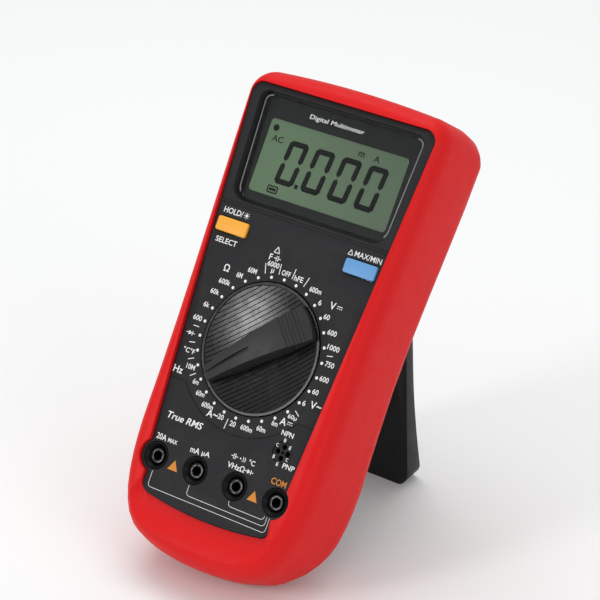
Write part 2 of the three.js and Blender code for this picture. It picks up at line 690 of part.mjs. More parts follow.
function batterySnap() {
  const left = batteryBox.left + battery.fit + battery.length + gap;
  const right = batteryBox.right - gap;
  const middle = batteryTop - battery.thickness / 2;
  const plate = box(left, right, battery.y - 12, battery.y + 12, middle - 6, middle + 6);
  const cups = [-1, 1].map((side) => {
    const radius = (side < 0 ? 2.8 : 2.1) + gap;
    return rodX(radius, left - 1, left + battery.studs + gap, battery.y + side * 6.3, middle, 14);
  });
  return cut(plate, ...cups);
}

function buzzerCan() {
  const low = boardLowRoom - buzzer.height;
  const can = disc(buzzer.radius, low, boardLowRoom, buzzer.x, buzzer.y, 24);
  return can.subtract(disc(1, low - 1, low + 2, buzzer.x, buzzer.y, 10));
}

function mainChip() {
  const half = chip.side / 2;
  const low = boardLowRoom - chip.height;
  return box(chip.x - half, chip.x + half, chip.y - half, chip.y + half, low, boardLowRoom);
}

function filterCapacitor() {
  const { radius, length, x, y } = capacitor;
  return disc(radius, boardLowRoom - length, boardLowRoom, x, y, 16);
}

function protectionThermistor() {
  const { radius, thickness, x, y } = thermistor;
  const low = boardLowRoom - 2 * radius;
  return rodX(radius, x - thickness / 2, x + thickness / 2, y, low + radius, 16);
}

function quartzCrystal() {
  const { length, width, height, x, y } = crystal;
  return prism(roundedRect(length, width, width / 2 - 0.1, x, y), boardLowRoom - height, boardLowRoom, 3);
}

// ---------------------------------------------------------------- stand
// Built with the hinge axis as origin, hanging down -Y, its back towards -Z, as when folded flat.

function standOutline(length) {
  const { half, footHalf, corner } = stand;
  const shape = new THREE.Shape();
  shape.moveTo(-half, corner);
  shape.lineTo(-footHalf, corner - length);
  shape.absarc(-footHalf + corner, corner - length, corner, 180 * deg, 270 * deg);
  shape.absarc(footHalf - corner, corner - length, corner, 270 * deg, 360 * deg);
  shape.lineTo(half, corner);
  return shape;
}

function standPlate() {
  const drop = stand.hingeY * upY + hingeZ * upZ - floorLevel;
  const length = drop / Math.cos(stand.open - lean);
  const over = 20;
  const side = new THREE.Shape();
  side.moveTo(0, stand.front);
  side.lineTo(-length - over, stand.front);
  side.lineTo(-length - over, -stand.backFoot - 2);
  side.splineThru([
    [-length, -stand.backFoot], [-0.75 * length, -stand.backMid - 1.6], [-length / 2, -stand.backMid],
    [0, -stand.backTop],
  ].map(([y, z]) => new THREE.Vector2(y, z)));
  const flanks = acrossX(side, -stand.half, stand.half);
  const planLength = length + stand.backFoot * Math.tan(stand.open - lean);
  const plate = flanks.intersect(prism(standOutline(planLength), -reach, reach));
  const inner = stand.footHalf - stand.flange;
  const pocketPlan = roundedRect(2 * inner, length - stand.pocketEnds, stand.flange, 0, -length / 2 - 2);
  const pocket = prism(pocketPlan, -reach, stand.front - stand.web);
  const barrel = rodX(stand.barrel, -stand.half, stand.half, 0, 0);
  const lugRooms = [-1, 1].map((which) => {
    const x0 = which * lug.inner - (which < 0 ? lug.width : 0);
    return box(x0 - slide, x0 + lug.width + slide, -lug.radius - 3, lug.radius + 2, -lug.radius - 3, 10);
  });
  const hole = rodX(pin.radius + gap, -reach, reach, 0, 0);
  const hanging = new THREE.BoxGeometry(reach, reach, reach).translate(0, -drop - reach / 2, 0);
  const floorCut = solid(hanging.rotateX(lean - stand.open));
  return cut(plate.subtract(pocket).add(barrel), ...lugRooms, hole, floorCut);
}

function hingePin() {
  return rodX(pin.radius, -pin.length / 2, pin.length / 2, stand.hingeY, hingeZ);
}

// ---------------------------------------------------------------- materials and assembly

function finish(color, roughness, metalness = 0, opacity = 1) {
  return () => new THREE.MeshStandardMaterial({
    color, roughness, metalness, opacity, transparent: opacity < 1,
  });
}

const finishes = {
  redRubber: finish(0xde302e, 0.55), charcoal: finish(0x343436, 0.6), blackPlastic: finish(0x202022, 0.5),
  lens: finish(0xdfe6e2, 0.08, 0, 0.35), display: finish(0x627a5c, 0.25), white: finish(0xe9e9e4, 0.6),
  yellowKey: finish(0xf3b237, 0.45), blueKey: finish(0x69a0d2, 0.45), knob: finish(0x1e1e1e, 0.4),
  board: finish(0x1f5c36, 0.5), brass: finish(0xc9a557, 0.3, 1), steel: finish(0xb9bcc0, 0.3, 1),
  ceramic: finish(0xd8d3c4, 0.6), copper: finish(0xb87345, 0.35, 1), cell: finish(0x2f3136, 0.4),
  zebra: finish(0x8a8f94, 0.8), amber: finish(0xc08040, 0.5),
};

function place(group, name, shape, look) {
  const data = shape.getMesh();
  const geometry = new THREE.BufferGeometry();
  geometry.setAttribute('position', new THREE.BufferAttribute(new Float32Array(data.vertProperties), 3));
  geometry.setIndex(new THREE.BufferAttribute(new Uint32Array(data.triVerts), 1));
  geometry.computeVertexNormals();
  const mesh = new THREE.Mesh(geometry, finishes[look]());
  mesh.name = name;
  group.add(mesh);
}

function addHousing(group) {
  place(group, 'holster', holster(), 'redRubber');
  place(group, 'front_case', frontCase(), 'charcoal');
  place(group, 'rear_case', rearCase(), 'blackPlastic');
  place(group, 'battery_door', batteryDoor(), 'blackPlastic');
  place(group, 'battery_door_screw', doorScrew(), 'steel');
  screwPlaces.forEach(([x, y], i) => {
    const low = rearFace + screw.sink - screw.headHeight - gap;
    place(group, `case_screw_${i + 1}`, woodScrew(x, y, low, panelUnder - 3), 'steel');
  });
}

function addDisplay(group) {
  place(group, 'display_lens', lensPlate(), 'lens');
  place(group, 'lcd_glass', displayGlass(), 'display');
  place(group, 'lcd_frame', displayFrame(), 'white');
  place(group, 'backlight_panel', backlight(), 'white');
  place(group, 'zebra_strip', zebraStrip(), 'zebra');
}

function addKeys(group) {
  place(group, 'hold_button', keyCap(-1), 'yellowKey');
  place(group, 'maxmin_button', keyCap(1), 'blueKey');
  place(group, 'hold_switch', tactSwitch(-1), 'steel');
  place(group, 'maxmin_switch', tactSwitch(1), 'steel');
}

function addSelector(group) {
  const turning = new THREE.Group();
  turning.rotation.z = -knob.pointerAngle * deg;
  place(turning, 'selector_knob', selectorKnob(), 'knob');
  place(turning, 'switch_rotor', switchRotor(), 'white');
  for (let i = 0; i < wiper.count; i += 1) place(turning, `wiper_${i + 1}`, wiperLeaf(i), 'brass');
  for (const [i, side] of [-1, 1].entries()) {
    place(turning, `detent_spring_${i + 1}`, detentSpring(side), 'steel');
    place(turning, `detent_ball_${i + 1}`, detentBall(side), 'steel');
  }
  group.add(turning);
}

function addBoard(group) {
  place(group, 'main_board', mainBoard(), 'board');
  jackPlaces.forEach((x, i) => {
    place(group, `jack_collar_${i + 1}`, jackCollar(x), 'blackPlastic');
    place(group, `jack_tube_${i + 1}`, jackTube(x), 'brass');
  });
  place(group, 'transistor_socket', transistorSocket(), 'blackPlastic');
  fuse.y.forEach((y, i) => {
    place(group, `fuse_${i + 1}`, fuseTube(y), 'ceramic');
    place(group, `fuse_clip_${2 * i + 1}`, fuseClip(-1, y), 'brass');
    place(group, `fuse_clip_${2 * i + 2}`, fuseClip(1, y), 'brass');
  });
  place(group, 'shunt_wire', shuntWire(), 'copper');
  place(group, 'battery', batteryCell(), 'cell');
  place(group, 'battery_snap', batterySnap(), 'blackPlastic');
  place(group, 'buzzer', buzzerCan(), 'blackPlastic');
  place(group, 'main_chip', mainChip(), 'blackPlastic');
  place(group, 'filter_capacitor', filterCapacitor(), 'blackPlastic');
  place(group, 'protection_thermistor', protectionThermistor(), 'amber');
  place(group, 'quartz_crystal', quartzCrystal(), 'steel');
}

function addStand(group) {
  const swinging = new THREE.Group();
  swinging.position.set(0, stand.hingeY, hingeZ);
  swinging.rotation.x = stand.open;
  place(swinging, 'tilt_stand', standPlate(), 'blackPlastic');
  group.add(swinging);
  place(group, 'stand_pin', hingePin(), 'steel');
}

function multimeter() {
  const leaning = new THREE.Group();
  leaning.rotation.x = 90 * deg - lean;
  for (const add of [addHousing, addDisplay, addKeys, addSelector, addBoard, addStand]) add(leaning);
  const whole = new THREE.Group();
  whole.add(leaning);
  whole.updateMatrixWorld(true);
  const bounds = new THREE.Box3().setFromObject(whole, true);
  const middle = bounds.getCenter(new THREE.Vector3());
  leaning.position.set(-middle.x, -middle.y, -bounds.min.z);
  return whole;
}

export default multimeter();
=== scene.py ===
"""Digital multimeter in a red holster, leaning back on its opened tilt stand.

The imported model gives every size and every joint. This script dresses it: the holster, panel, knob,
keys, jacks, socket and stand get finished shapes, the face gets its printing and the display its
segments, and each piece gets a procedural finish.

Pieces of the face are modelled flat on a drawing board (X right, Y up, Z out of the face, origin at
the dial's centre, in millimetres) and are then laid into the leaning meter.
"""

from __future__ import annotations

import json
import logging
import math
from collections.abc import Callable, Iterable, Sequence
from dataclasses import dataclass
from enum import Enum

import bpy
from mathutils import Matrix, Vector

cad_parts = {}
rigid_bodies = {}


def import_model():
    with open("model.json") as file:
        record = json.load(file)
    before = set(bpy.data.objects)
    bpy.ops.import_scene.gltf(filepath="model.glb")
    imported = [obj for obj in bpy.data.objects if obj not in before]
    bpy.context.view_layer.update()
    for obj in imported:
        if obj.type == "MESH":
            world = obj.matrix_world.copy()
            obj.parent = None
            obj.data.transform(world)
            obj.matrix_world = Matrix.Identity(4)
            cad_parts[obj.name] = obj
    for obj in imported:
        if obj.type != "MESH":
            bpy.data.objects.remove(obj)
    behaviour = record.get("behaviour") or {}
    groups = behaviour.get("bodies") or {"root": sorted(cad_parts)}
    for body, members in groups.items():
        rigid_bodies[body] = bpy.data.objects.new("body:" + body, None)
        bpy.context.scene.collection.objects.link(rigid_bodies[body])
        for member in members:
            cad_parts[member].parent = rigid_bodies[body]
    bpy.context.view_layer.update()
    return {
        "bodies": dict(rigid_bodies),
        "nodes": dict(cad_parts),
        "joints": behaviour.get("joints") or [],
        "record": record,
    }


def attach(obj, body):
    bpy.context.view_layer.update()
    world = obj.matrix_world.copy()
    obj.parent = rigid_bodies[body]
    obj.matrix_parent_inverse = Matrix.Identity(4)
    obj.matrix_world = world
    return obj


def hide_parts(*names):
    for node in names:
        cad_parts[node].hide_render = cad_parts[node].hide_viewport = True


log = logging.getLogger("multimeter")

MM = 0.001
# Past both sides of any piece, in millimetres: how far a tool that cuts right through reaches.
THROUGH = 20
# How far outside the face that it cuts into such a tool starts, in millimetres.
CLEAR = 5
Colour = tuple[float, float, float]
Test = Callable[[Vector, Vector], bool]


class Slot(Enum):
    """The record's material slots."""

    HOLSTER = "red_rubber"
    PANEL = "charcoal_panel"
    CASE = "case_plastic"
    STAND = "stand_plastic"
    KNOB = "knob_plastic"
    BLACK = "black_plastic"
    WHITE = "white_plastic"
    YELLOW = "yellow_key"
    BLUE = "blue_key"
    LENS = "clear_lens"
    LCD = "lcd"
    ZEBRA = "zebra_rubber"
    BRASS = "brass"
    STEEL = "steel"
    BOARD = "board_laminate"
    FUSE = "fuse_ceramic"
    SHUNT = "shunt_alloy"
    BATTERY = "battery_jacket"
    THERMISTOR = "thermistor_coat"


class Body(Enum):
    """The bodies that pieces ride on."""

    METER = "meter"
    SELECTOR = "selector"
    HOLD = "hold_key"
    MAXMIN = "maxmin_key"
    STAND = "stand"


class Part(Enum):
    """What a test picks in a mesh."""

    FACE = "FACE"
    EDGE = "EDGE"


def tint(red: int, green: int, blue: int) -> Colour:
    """A display colour of 0 to 255 a channel as linear light.

    Args:
        red: Red, 0 to 255.
        green: Green, 0 to 255.
        blue: Blue, 0 to 255.

    Returns:
        The three linear values, 0 to 1.
    """
    shares = [channel / 255 for channel in (red, green, blue)]
    return tuple(s / 12.92 if s <= 0.04045 else ((s + 0.055) / 1.055) ** 2.4 for s in shares)


def darker(colour: Colour, share: float) -> Colour:
    """A colour times a share."""
    return tuple(channel * share for channel in colour)


# ---------------------------------------------------------------- shaders


class Value:
    """A value in a node tree. Arithmetic on it adds Math nodes."""

    def __init__(self, surface: Surface, socket: bpy.types.NodeSocket) -> None:
        """Wraps an output socket of a surface's tree."""
        self.surface = surface
        self.socket = socket

    def _math(self, operation: str, first: Value | float, second: Value | float) -> Value:
        """Adds one Math node.

        Args:
            operation: The node's operation.
            first: Its first value.
            second: Its second value.

        Returns:
            The node's result.
        """
        return self.surface.node("ShaderNodeMath", {"operation": operation}, {0: first, 1: second})

    def __add__(self, other: Value | float) -> Value:
        """Sum."""
        return self._math("ADD", self, other)

    def __radd__(self, other: Value | float) -> Value:
        """Sum, from the right."""
        return self._math("ADD", other, self)

    def __mul__(self, other: Value | float) -> Value:
        """Product."""
        return self._math("MULTIPLY", self, other)

    def __rmul__(self, other: Value | float) -> Value:
        """Product, from the right."""
        return self._math("MULTIPLY", other, self)

    def ramp(self, low: float, high: float) -> Value:
        """The value's smooth rise from nought at low to one at high.

        Args:
            low: Where the rise starts.
            high: Where it ends.

        Returns:
            A value from 0 to 1.
        """
        settings = {"interpolation_type": "SMOOTHSTEP"}
        return self.surface.node("ShaderNodeMapRange", settings, {"Value": self, 1: low, 2: high})


class Surface:
    """One material and its node tree."""

    def __init__(self, name: str) -> None:
        """Makes an empty material with its output and its principled shader.

        Args:
            name: The material's name.
        """
        self.material = bpy.data.materials.new(name)
        self.material.use_nodes = True
        self.tree = self.material.node_tree
        self.tree.nodes.clear()
        self.output = self.tree.nodes.new("ShaderNodeOutputMaterial")
        self.shader = self.tree.nodes.new("ShaderNodeBsdfPrincipled")
        self.tree.links.new(self.shader.outputs[0], self.output.inputs["Surface"])
        self.place = self.tree.nodes.new("ShaderNodeTexCoord").outputs["Object"]

    def node(
        self, kind: str, settings: dict | None = None, sockets: dict | None = None, out: int = 0
    ) -> Value:
        """Adds a node.

        Args:
            kind: The node's type.
            settings: Its properties, set first.
            sockets: Values or links, by socket name or number.
            out: Which output is wanted.

        Returns:
            The chosen output.
        """
        made = self.tree.nodes.new(kind)
        for key, value in (settings or {}).items():
            setattr(made, key, value)
        for key, value in (sockets or {}).items():
            self.feed(made.inputs[key], value)
        return Value(self, made.outputs[out])

    def feed(self, socket: bpy.types.NodeSocket, value: object) -> None:
        """Links a value to a socket, or sets it there.

        Args:
            socket: The input socket.
            value: A Value, an output socket, a number or a colour.
        """
        if isinstance(value, Value):
            self.tree.links.new(value.socket, socket)
        elif isinstance(value, bpy.types.NodeSocket):
            self.tree.links.new(value, socket)
        elif isinstance(value, tuple) and len(socket.default_value) == 4:
            socket.default_value = (*value, 1.0)
        else:
            socket.default_value = value

    def set(self, **values: object) -> None:
        """Feeds the principled shader's sockets, with _ for a space in a name."""
        for key, value in values.items():
            self.feed(self.shader.inputs[key.replace("_", " ")], value)

    def noise(
        self, pitch: float, detail: float = 2.0, stretch: tuple[float, float, float] = (1, 1, 1)
    ) -> Value:
        """Soft noise in the piece's own space.

        Args:
            pitch: The size of its blotches in millimetres.
            detail: How many finer layers it has.
            stretch: How it is scaled along each axis.

        Returns:
            A value around one half.
        """
        placed = self.node("ShaderNodeMapping", None, {"Vector": self.place, "Scale": Vector(stretch)})
        sockets = {"Vector": placed, "Scale": 1 / (pitch * MM), "Detail": detail, "Roughness": 0.6}
        return self.node("ShaderNodeTexNoise", None, sockets)

    def mix(self, share: Value | float, first: Value | Colour, second: Value | Colour) -> Value:
        """A mix of two colours.

        Args:
            share: How much of the second.
            first: One colour.
            second: The other colour.

        Returns:
            The mixed colour.
        """
        sockets = {0: share, 6: first, 7: second}
        return self.node("ShaderNodeMix", {"data_type": "RGBA"}, sockets, out=2)

    def bump(self, height: Value, depth: float) -> Value:
        """A normal from a height.

        Args:
            height: The height, around nought to one.
            depth: What a height of one means, in millimetres.

        Returns:
            The normal.
        """
        return self.node("ShaderNodeBump", None, {"Height": height, "Distance": depth * MM, "Strength": 1.0})


@dataclass(frozen=True)
class Moulded:
    """Moulded plastic or rubber: spark-eroded grain, faint flow mottling and handling sheen.

    Sizes are in millimetres.
    """

    colour: Colour
    roughness: float = 0.5
    grain: float = 0.35
    depth: float = 0.012
    mottle: float = 0.12
    gloss: float = 0.5

    def build(self, name: str) -> bpy.types.Material:
        """Makes the material.

        Args:
            name: Its name.

        Returns:
            The material.
        """
        surface = Surface(name)
        grain = surface.noise(self.grain, 3.0)
        wide = surface.noise(14.0, 3.0)
        handled = surface.noise(5.0, 4.0).ramp(0.42, 0.66)
        base = surface.mix(wide.ramp(0.3, 0.7) * self.mottle * 2, self.colour, darker(self.colour, 0.72))
        specks = grain.ramp(0.55, 0.8) * self.mottle
        lit = surface.mix(specks, base, tuple(min(1.0, c * 1.5 + 0.01) for c in self.colour))
        surface.set(Base_Color=lit, Specular_IOR_Level=self.gloss)
        surface.set(Roughness=self.roughness - 0.05 + handled * 0.07 + grain * 0.08)
        height = grain + surface.noise(self.grain * 7, 2.0) * 1.3
        surface.set(Normal=surface.bump(height, self.depth))
        return surface.material


@dataclass(frozen=True)
class Metal:
    """Turned or drawn metal with fine tool lines and a little tarnish."""

    colour: Colour
    roughness: float = 0.28
    tarnish: float = 0.35

    def build(self, name: str) -> bpy.types.Material:
        """Makes the material.

        Args:
            name: Its name.

        Returns:
            The material.
        """
        surface = Surface(name)
        lines = surface.noise(0.5, 3.0, (0.2, 1.0, 3.0))
        spots = surface.noise(2.5, 4.0).ramp(0.5, 0.75) * self.tarnish
        surface.set(Base_Color=surface.mix(spots, self.colour, darker(self.colour, 0.45)), Metallic=1.0)
        surface.set(Roughness=self.roughness + spots * 0.4 + lines * 0.08)
        surface.set(Normal=surface.bump(lines, 0.006))
        return surface.material


@dataclass(frozen=True)
class Banded:
    """A material of two colours in bands: zebra rubber, laminate weave, a wound jacket."""

    colour: Colour
    other: Colour
    pitch: float = 0.4
    roughness: float = 0.6
    soft: float = 0.2
    axis: str = "X"

    def build(self, name: str) -> bpy.types.Material:
        """Makes the material.

        Args:
            name: Its name.

        Returns:
            The material.
        """
        surface = Surface(name)
        sockets = {"Vector": surface.place, "Scale": 1 / (self.pitch * MM) / 3, "Distortion": self.soft}
        bands = surface.node("ShaderNodeTexWave", {"bands_direction": self.axis}, sockets, out=1)
        blotch = surface.noise(3.0, 4.0)
        share = bands.ramp(0.35, 0.65) * 0.8 + blotch * 0.2
        surface.set(Base_Color=surface.mix(share, self.colour, self.other))
        surface.set(Roughness=self.roughness - 0.05 + blotch * 0.15)
        surface.set(Normal=surface.bump(bands, 0.01))
        return surface.material


@dataclass(frozen=True)
class ClearPlate:
    """A clear moulded window with a hard, glossy skin."""

    gloss: float = 0.06
    ior: float = 1.49

    def build(self, name: str) -> bpy.types.Material:
        """Makes the material.

        Args:
            name: Its name.

        Returns:
            The material.
        """
        surface = Surface(name)
        waves = surface.noise(18.0, 2.0)
        smears = surface.noise(6.0, 5.0).ramp(0.45, 0.8)
        surface.set(Base_Color=(0.95, 0.96, 0.96), Metallic=1.0, Roughness=self.gloss + smears * 0.06)
        surface.set(Normal=surface.bump(waves, 0.02))
        through = surface.node("ShaderNodeBsdfTransparent", None, {"Color": (0.93, 0.95, 0.94)})
        edge = surface.node("ShaderNodeFresnel", None, {"IOR": self.ior})
        share = edge * 0.3 + smears * 0.004
        sockets = {0: share, 1: through, 2: surface.shader.outputs[0]}
        surface.feed(surface.output.inputs["Surface"], surface.node("ShaderNodeMixShader", None, sockets))
        return surface.material


@dataclass(frozen=True)
class Crystal:
    """The display's reflective cell: green-grey with a fine grain, and painted shade that makes it a little
    darker to one side.
    """

    # near is the cell's colour on its lit side; far is the painted shade on the other side.
    near: Colour
    far: Colour
    span: float = 31.0

    def build(self, name: str) -> bpy.types.Material:
        """Makes the material.

        Args:
            name: Its name.

        Returns:
            The material.
        """
        surface = Surface(name)
        across = surface.node("ShaderNodeSeparateXYZ", None, {0: surface.place})
        # Painted shade: the colour falls from near to far across the cell.
        painted_shade_fall = across.ramp(-self.span * MM, self.span * MM)
        grain = surface.noise(0.3, 2.0)
        cloud = surface.noise(12.0, 2.0)
        base = surface.mix(painted_shade_fall * 0.8 + cloud * 0.2, self.near, self.far)
        surface.set(Base_Color=surface.mix(grain * 0.12, base, darker(self.far, 0.6)))
        surface.set(Roughness=0.32 + grain * 0.1)
        surface.set(Normal=surface.bump(grain, 0.004))
        return surface.material


@dataclass(frozen=True)
class Ink:
    """Pad-printed or dyed ink, slightly uneven."""

    colour: Colour
    roughness: float = 0.55
    gloss: float = 0.4

    def build(self, name: str) -> bpy.types.Material:
        """Makes the material.

        Args:
            name: Its name.

        Returns:
            The material.
        """
        surface = Surface(name)
        uneven = surface.noise(0.4, 3.0)
        worn = uneven.ramp(0.45, 0.75) * 0.25
        surface.set(Base_Color=surface.mix(worn, self.colour, darker(self.colour, 0.8)))
        surface.set(Roughness=self.roughness + uneven * 0.1, Specular_IOR_Level=self.gloss)
        surface.set(Normal=surface.bump(uneven, 0.004))
        return surface.material


@dataclass(frozen=True)
class Ground:
    """The pale matt floor."""

    colour: Colour = (0.86, 0.87, 0.87)

    def build(self, name: str) -> bpy.types.Material:
        """Makes the material.

        Args:
            name: Its name.

        Returns:
            The material.
        """
        surface = Surface(name)
        cloud = surface.noise(400.0, 2.0)
        surface.set(Base_Color=surface.mix(cloud * 0.2, self.colour, darker(self.colour, 0.97)))
        surface.set(Roughness=0.75 + cloud * 0.1, Specular_IOR_Level=0.2)
        return surface.material


FINISHES = {
    Slot.HOLSTER: Moulded(tint(213, 25, 27), roughness=0.48, grain=0.5, depth=0.006, mottle=0.04, gloss=0.14),
    Slot.PANEL: Moulded(tint(38, 38, 40), roughness=0.55, grain=0.3, depth=0.010, mottle=0.12, gloss=0.16),
    Slot.CASE: Moulded(tint(34, 34, 36), roughness=0.55, grain=0.35, depth=0.016, mottle=0.15, gloss=0.4),
    Slot.STAND: Moulded(tint(12, 12, 13), roughness=0.45, grain=0.3, depth=0.010, mottle=0.12, gloss=0.3),
    Slot.KNOB: Moulded(tint(15, 15, 16), roughness=0.22, grain=0.25, depth=0.0012, mottle=0.06, gloss=0.4),
    Slot.BLACK: Moulded(tint(6, 6, 7), roughness=0.42, grain=0.3, depth=0.004, mottle=0.1, gloss=0.14),
    Slot.WHITE: Moulded(tint(228, 227, 220), roughness=0.5, grain=0.3, depth=0.006, mottle=0.08),
    Slot.YELLOW: Moulded(tint(240, 166, 38), roughness=0.42, grain=0.25, depth=0.006, mottle=0.07),
    Slot.BLUE: Moulded(tint(92, 150, 204), roughness=0.42, grain=0.25, depth=0.006, mottle=0.07),
    Slot.LENS: ClearPlate(),
    # The cell's lit colour, then its painted shade colour on the far side.
    Slot.LCD: Crystal(tint(104, 130, 94), tint(84, 104, 78)),
    Slot.ZEBRA: Banded(tint(70, 72, 74), tint(170, 172, 170), pitch=0.5),
    Slot.BRASS: Metal((0.72, 0.49, 0.17)),
    Slot.STEEL: Metal((0.56, 0.57, 0.58)),
    Slot.BOARD: Banded(tint(24, 88, 50), tint(34, 112, 64), pitch=0.5, roughness=0.4, soft=1.5),
    Slot.FUSE: Moulded(tint(222, 216, 200), roughness=0.45, grain=0.3, depth=0.006, mottle=0.1),
    Slot.SHUNT: Metal((0.62, 0.34, 0.2), roughness=0.35, tarnish=0.5),
    Slot.BATTERY: Banded(
        tint(30, 32, 38), tint(40, 42, 48), pitch=6.0, roughness=0.3, soft=0.4, axis="Y"
    ),
    Slot.THERMISTOR: Moulded(tint(196, 126, 60), roughness=0.35, grain=0.5, depth=0.02, mottle=0.2),
}

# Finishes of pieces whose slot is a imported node's own, or another piece's.
MASK = Moulded(tint(10, 11, 11), roughness=0.5, grain=0.3, depth=0.0003, mottle=0.05, gloss=0.2)
# Painted highlight: a light grey finish for the line that stands in for the glint along the lens's edges.
GLINT_LINE = Moulded(tint(128, 130, 130), roughness=0.35, grain=0.3, depth=0.001, mottle=0.1, gloss=0.5)
# Painted light: a lighter grey than the knob's own black, standing in for the light falling on the grip's
# top.
LIT_GRIP = Moulded(tint(40, 40, 41), roughness=0.46, grain=0.25, depth=0.003, mottle=0.08, gloss=0.3)
WHITE_INK = Ink(tint(232, 233, 232))
ORANGE_INK = Ink(tint(206, 128, 36))
SEGMENT_INK = Ink(tint(5, 8, 7), roughness=0.6, gloss=0.1)

CAD_SLOTS = {
    Slot.CASE: ["rear_case", "battery_door"],
    Slot.STEEL: [
        "battery_door_screw", "case_screw_1", "case_screw_2", "case_screw_3", "case_screw_4", "hold_switch",
        "maxmin_switch", "detent_spring_1", "detent_spring_2", "detent_ball_1", "detent_ball_2",
        "quartz_crystal", "stand_pin",
    ],
    Slot.LENS: ["display_lens"],
    Slot.LCD: ["lcd_glass"],
    Slot.WHITE: ["lcd_frame", "backlight_panel", "switch_rotor"],
    Slot.ZEBRA: ["zebra_strip"],
    Slot.BRASS: [
        "wiper_1", "wiper_2", "wiper_3", "jack_tube_1", "jack_tube_2", "jack_tube_3", "jack_tube_4",
        "fuse_clip_1", "fuse_clip_2", "fuse_clip_3", "fuse_clip_4",
    ],
    Slot.BOARD: ["main_board"],
    Slot.FUSE: ["fuse_1", "fuse_2"],
    Slot.SHUNT: ["shunt_wire"],
    Slot.BATTERY: ["battery"],
    Slot.BLACK: ["battery_snap", "buzzer", "main_chip", "filter_capacitor"],
    Slot.THERMISTOR: ["protection_thermistor"],
}


# ---------------------------------------------------------------- mesh tools


def only(piece: bpy.types.Object) -> None:
    """Makes a piece the only one selected, and the active one."""
    if bpy.context.mode != "OBJECT":
        bpy.ops.object.mode_set(mode="OBJECT")
    bpy.ops.object.select_all(action="DESELECT")
    piece.select_set(True)
    bpy.context.view_layer.objects.active = piece


def settle(piece: bpy.types.Object) -> None:
    """Puts a piece's place, turn and scale into its mesh."""
    only(piece)
    bpy.ops.object.transform_apply(location=True, rotation=True, scale=True)


def block(name: str, low: Sequence[float], high: Sequence[float]) -> bpy.types.Object:
    """A box to start a piece from.

    Args:
        name: The piece's name.
        low: Its lowest corner, in millimetres.
        high: Its highest corner, in millimetres.

    Returns:
        The piece.
    """
    bpy.ops.object.select_all(action="DESELECT")
    centre = [(a + b) / 2 * MM for a, b in zip(low, high)]
    bpy.ops.mesh.primitive_cube_add(size=1, location=centre)
    piece = bpy.context.object
    piece.name = name
    piece.scale = [(b - a) * MM for a, b in zip(low, high)]
    settle(piece)
    return piece


def drum(
    name: str, radius: float, low: float, high: float, x: float = 0, y: float = 0, sides: int = 64
) -> bpy.types.Object:
    """A round bar along Z to start a piece from.

    Args:
        name: The piece's name.
        radius: Its radius, in millimetres.
        low: Its lower end.
        high: Its upper end.
        x: Its place across the face.
        y: Its place up the face.
        sides: How many sides it has.

    Returns:
        The piece.
    """
    bpy.ops.object.select_all(action="DESELECT")
    place = (x * MM, y * MM, (low + high) / 2 * MM)
    bpy.ops.mesh.primitive_cylinder_add(
        vertices=sides, radius=radius * MM, depth=(high - low) * MM, location=place
    )
    piece = bpy.context.object
    piece.name = name
    settle(piece)
    return piece


def pick(piece: bpy.types.Object, part: Part, test: Test) -> None:
    """Opens a piece for editing with what passes a test selected.

    Args:
        piece: The piece.
        part: Faces or edges.
        test: Takes a face's centre and normal, or an edge's middle and direction, in millimetres.
    """
    only(piece)
    bpy.ops.object.mode_set(mode="EDIT")
    bpy.ops.mesh.select_mode(type=part.value)
    bpy.ops.mesh.select_all(action="DESELECT")
    bpy.ops.object.mode_set(mode="OBJECT")
    mesh = piece.data
    if part is Part.FACE:
        for face in mesh.polygons:
            face.select = test(face.center / MM, face.normal)
    else:
        for edge in mesh.edges:
            start, end = (mesh.vertices[i].co for i in edge.vertices)
            edge.select = test((start + end) / 2 / MM, (end - start).normalized())
    bpy.ops.object.mode_set(mode="EDIT")


def done() -> None:
    """Ends editing."""
    bpy.ops.object.mode_set(mode="OBJECT")


def step_in(inward: float, down: float) -> None:
    """Insets the selected faces and sinks them, in millimetres."""
    bpy.ops.mesh.inset(thickness=inward * MM, depth=-down * MM)


def push(x: float, y: float, z: float) -> None:
    """Extrudes the selected faces by so many millimetres."""
    bpy.ops.mesh.extrude_region_move(TRANSFORM_OT_translate={"value": (x * MM, y * MM, z * MM)})


def modify(piece: bpy.types.Object, kind: str, **settings: object) -> None:
    """Adds a modifier to a piece and applies it.

    Args:
        piece: The piece.
        kind: The modifier's type.
        **settings: Its properties.
    """
    only(piece)
    modifier = piece.modifiers.new(kind.title(), kind)
    for key, value in settings.items():
        setattr(modifier, key, value)
    bpy.ops.object.modifier_apply(modifier=modifier.name)


def round_edges(piece: bpy.types.Object, width: float, segments: int = 2, angle: float = 35) -> None:
    """Rounds every edge sharper than an angle.

    Args:
        piece: The piece.
        width: The rounding's width, in millimetres.
        segments: Its steps.
        angle: The least angle that is rounded, in degrees.
    """
    modify(
        piece, "BEVEL", width=width * MM, segments=segments, limit_method="ANGLE",
        angle_limit=math.radians(angle), use_clamp_overlap=True,
    )


def combine(piece: bpy.types.Object, tool: bpy.types.Object, how: str = "DIFFERENCE") -> None:
    """Cuts, joins or intersects a piece with a tool, which is used up.

    Args:
        piece: The piece.
        tool: The other mesh.
        how: The kind of combination.
    """
    modify(piece, "BOOLEAN", operation=how, object=tool, solver="EXACT")
    bpy.data.objects.remove(tool)


def gather(name: str, pieces: Iterable[bpy.types.Object]) -> bpy.types.Object:
    """Joins meshes into one piece.

    Args:
        name: The piece's name.
        pieces: The meshes.

    Returns:
        The piece.
    """
    every = list(pieces)
    only(every[0])
    for piece in every:
        piece.select_set(True)
    bpy.ops.object.join()
    whole = bpy.context.object
    whole.name = name
    return whole


def smooth(piece: bpy.types.Object, angle: float = 32) -> None:
    """Shades a piece smooth, with edges sharper than an angle left sharp."""
    only(piece)
    bpy.ops.object.shade_smooth_by_angle(angle=math.radians(angle))


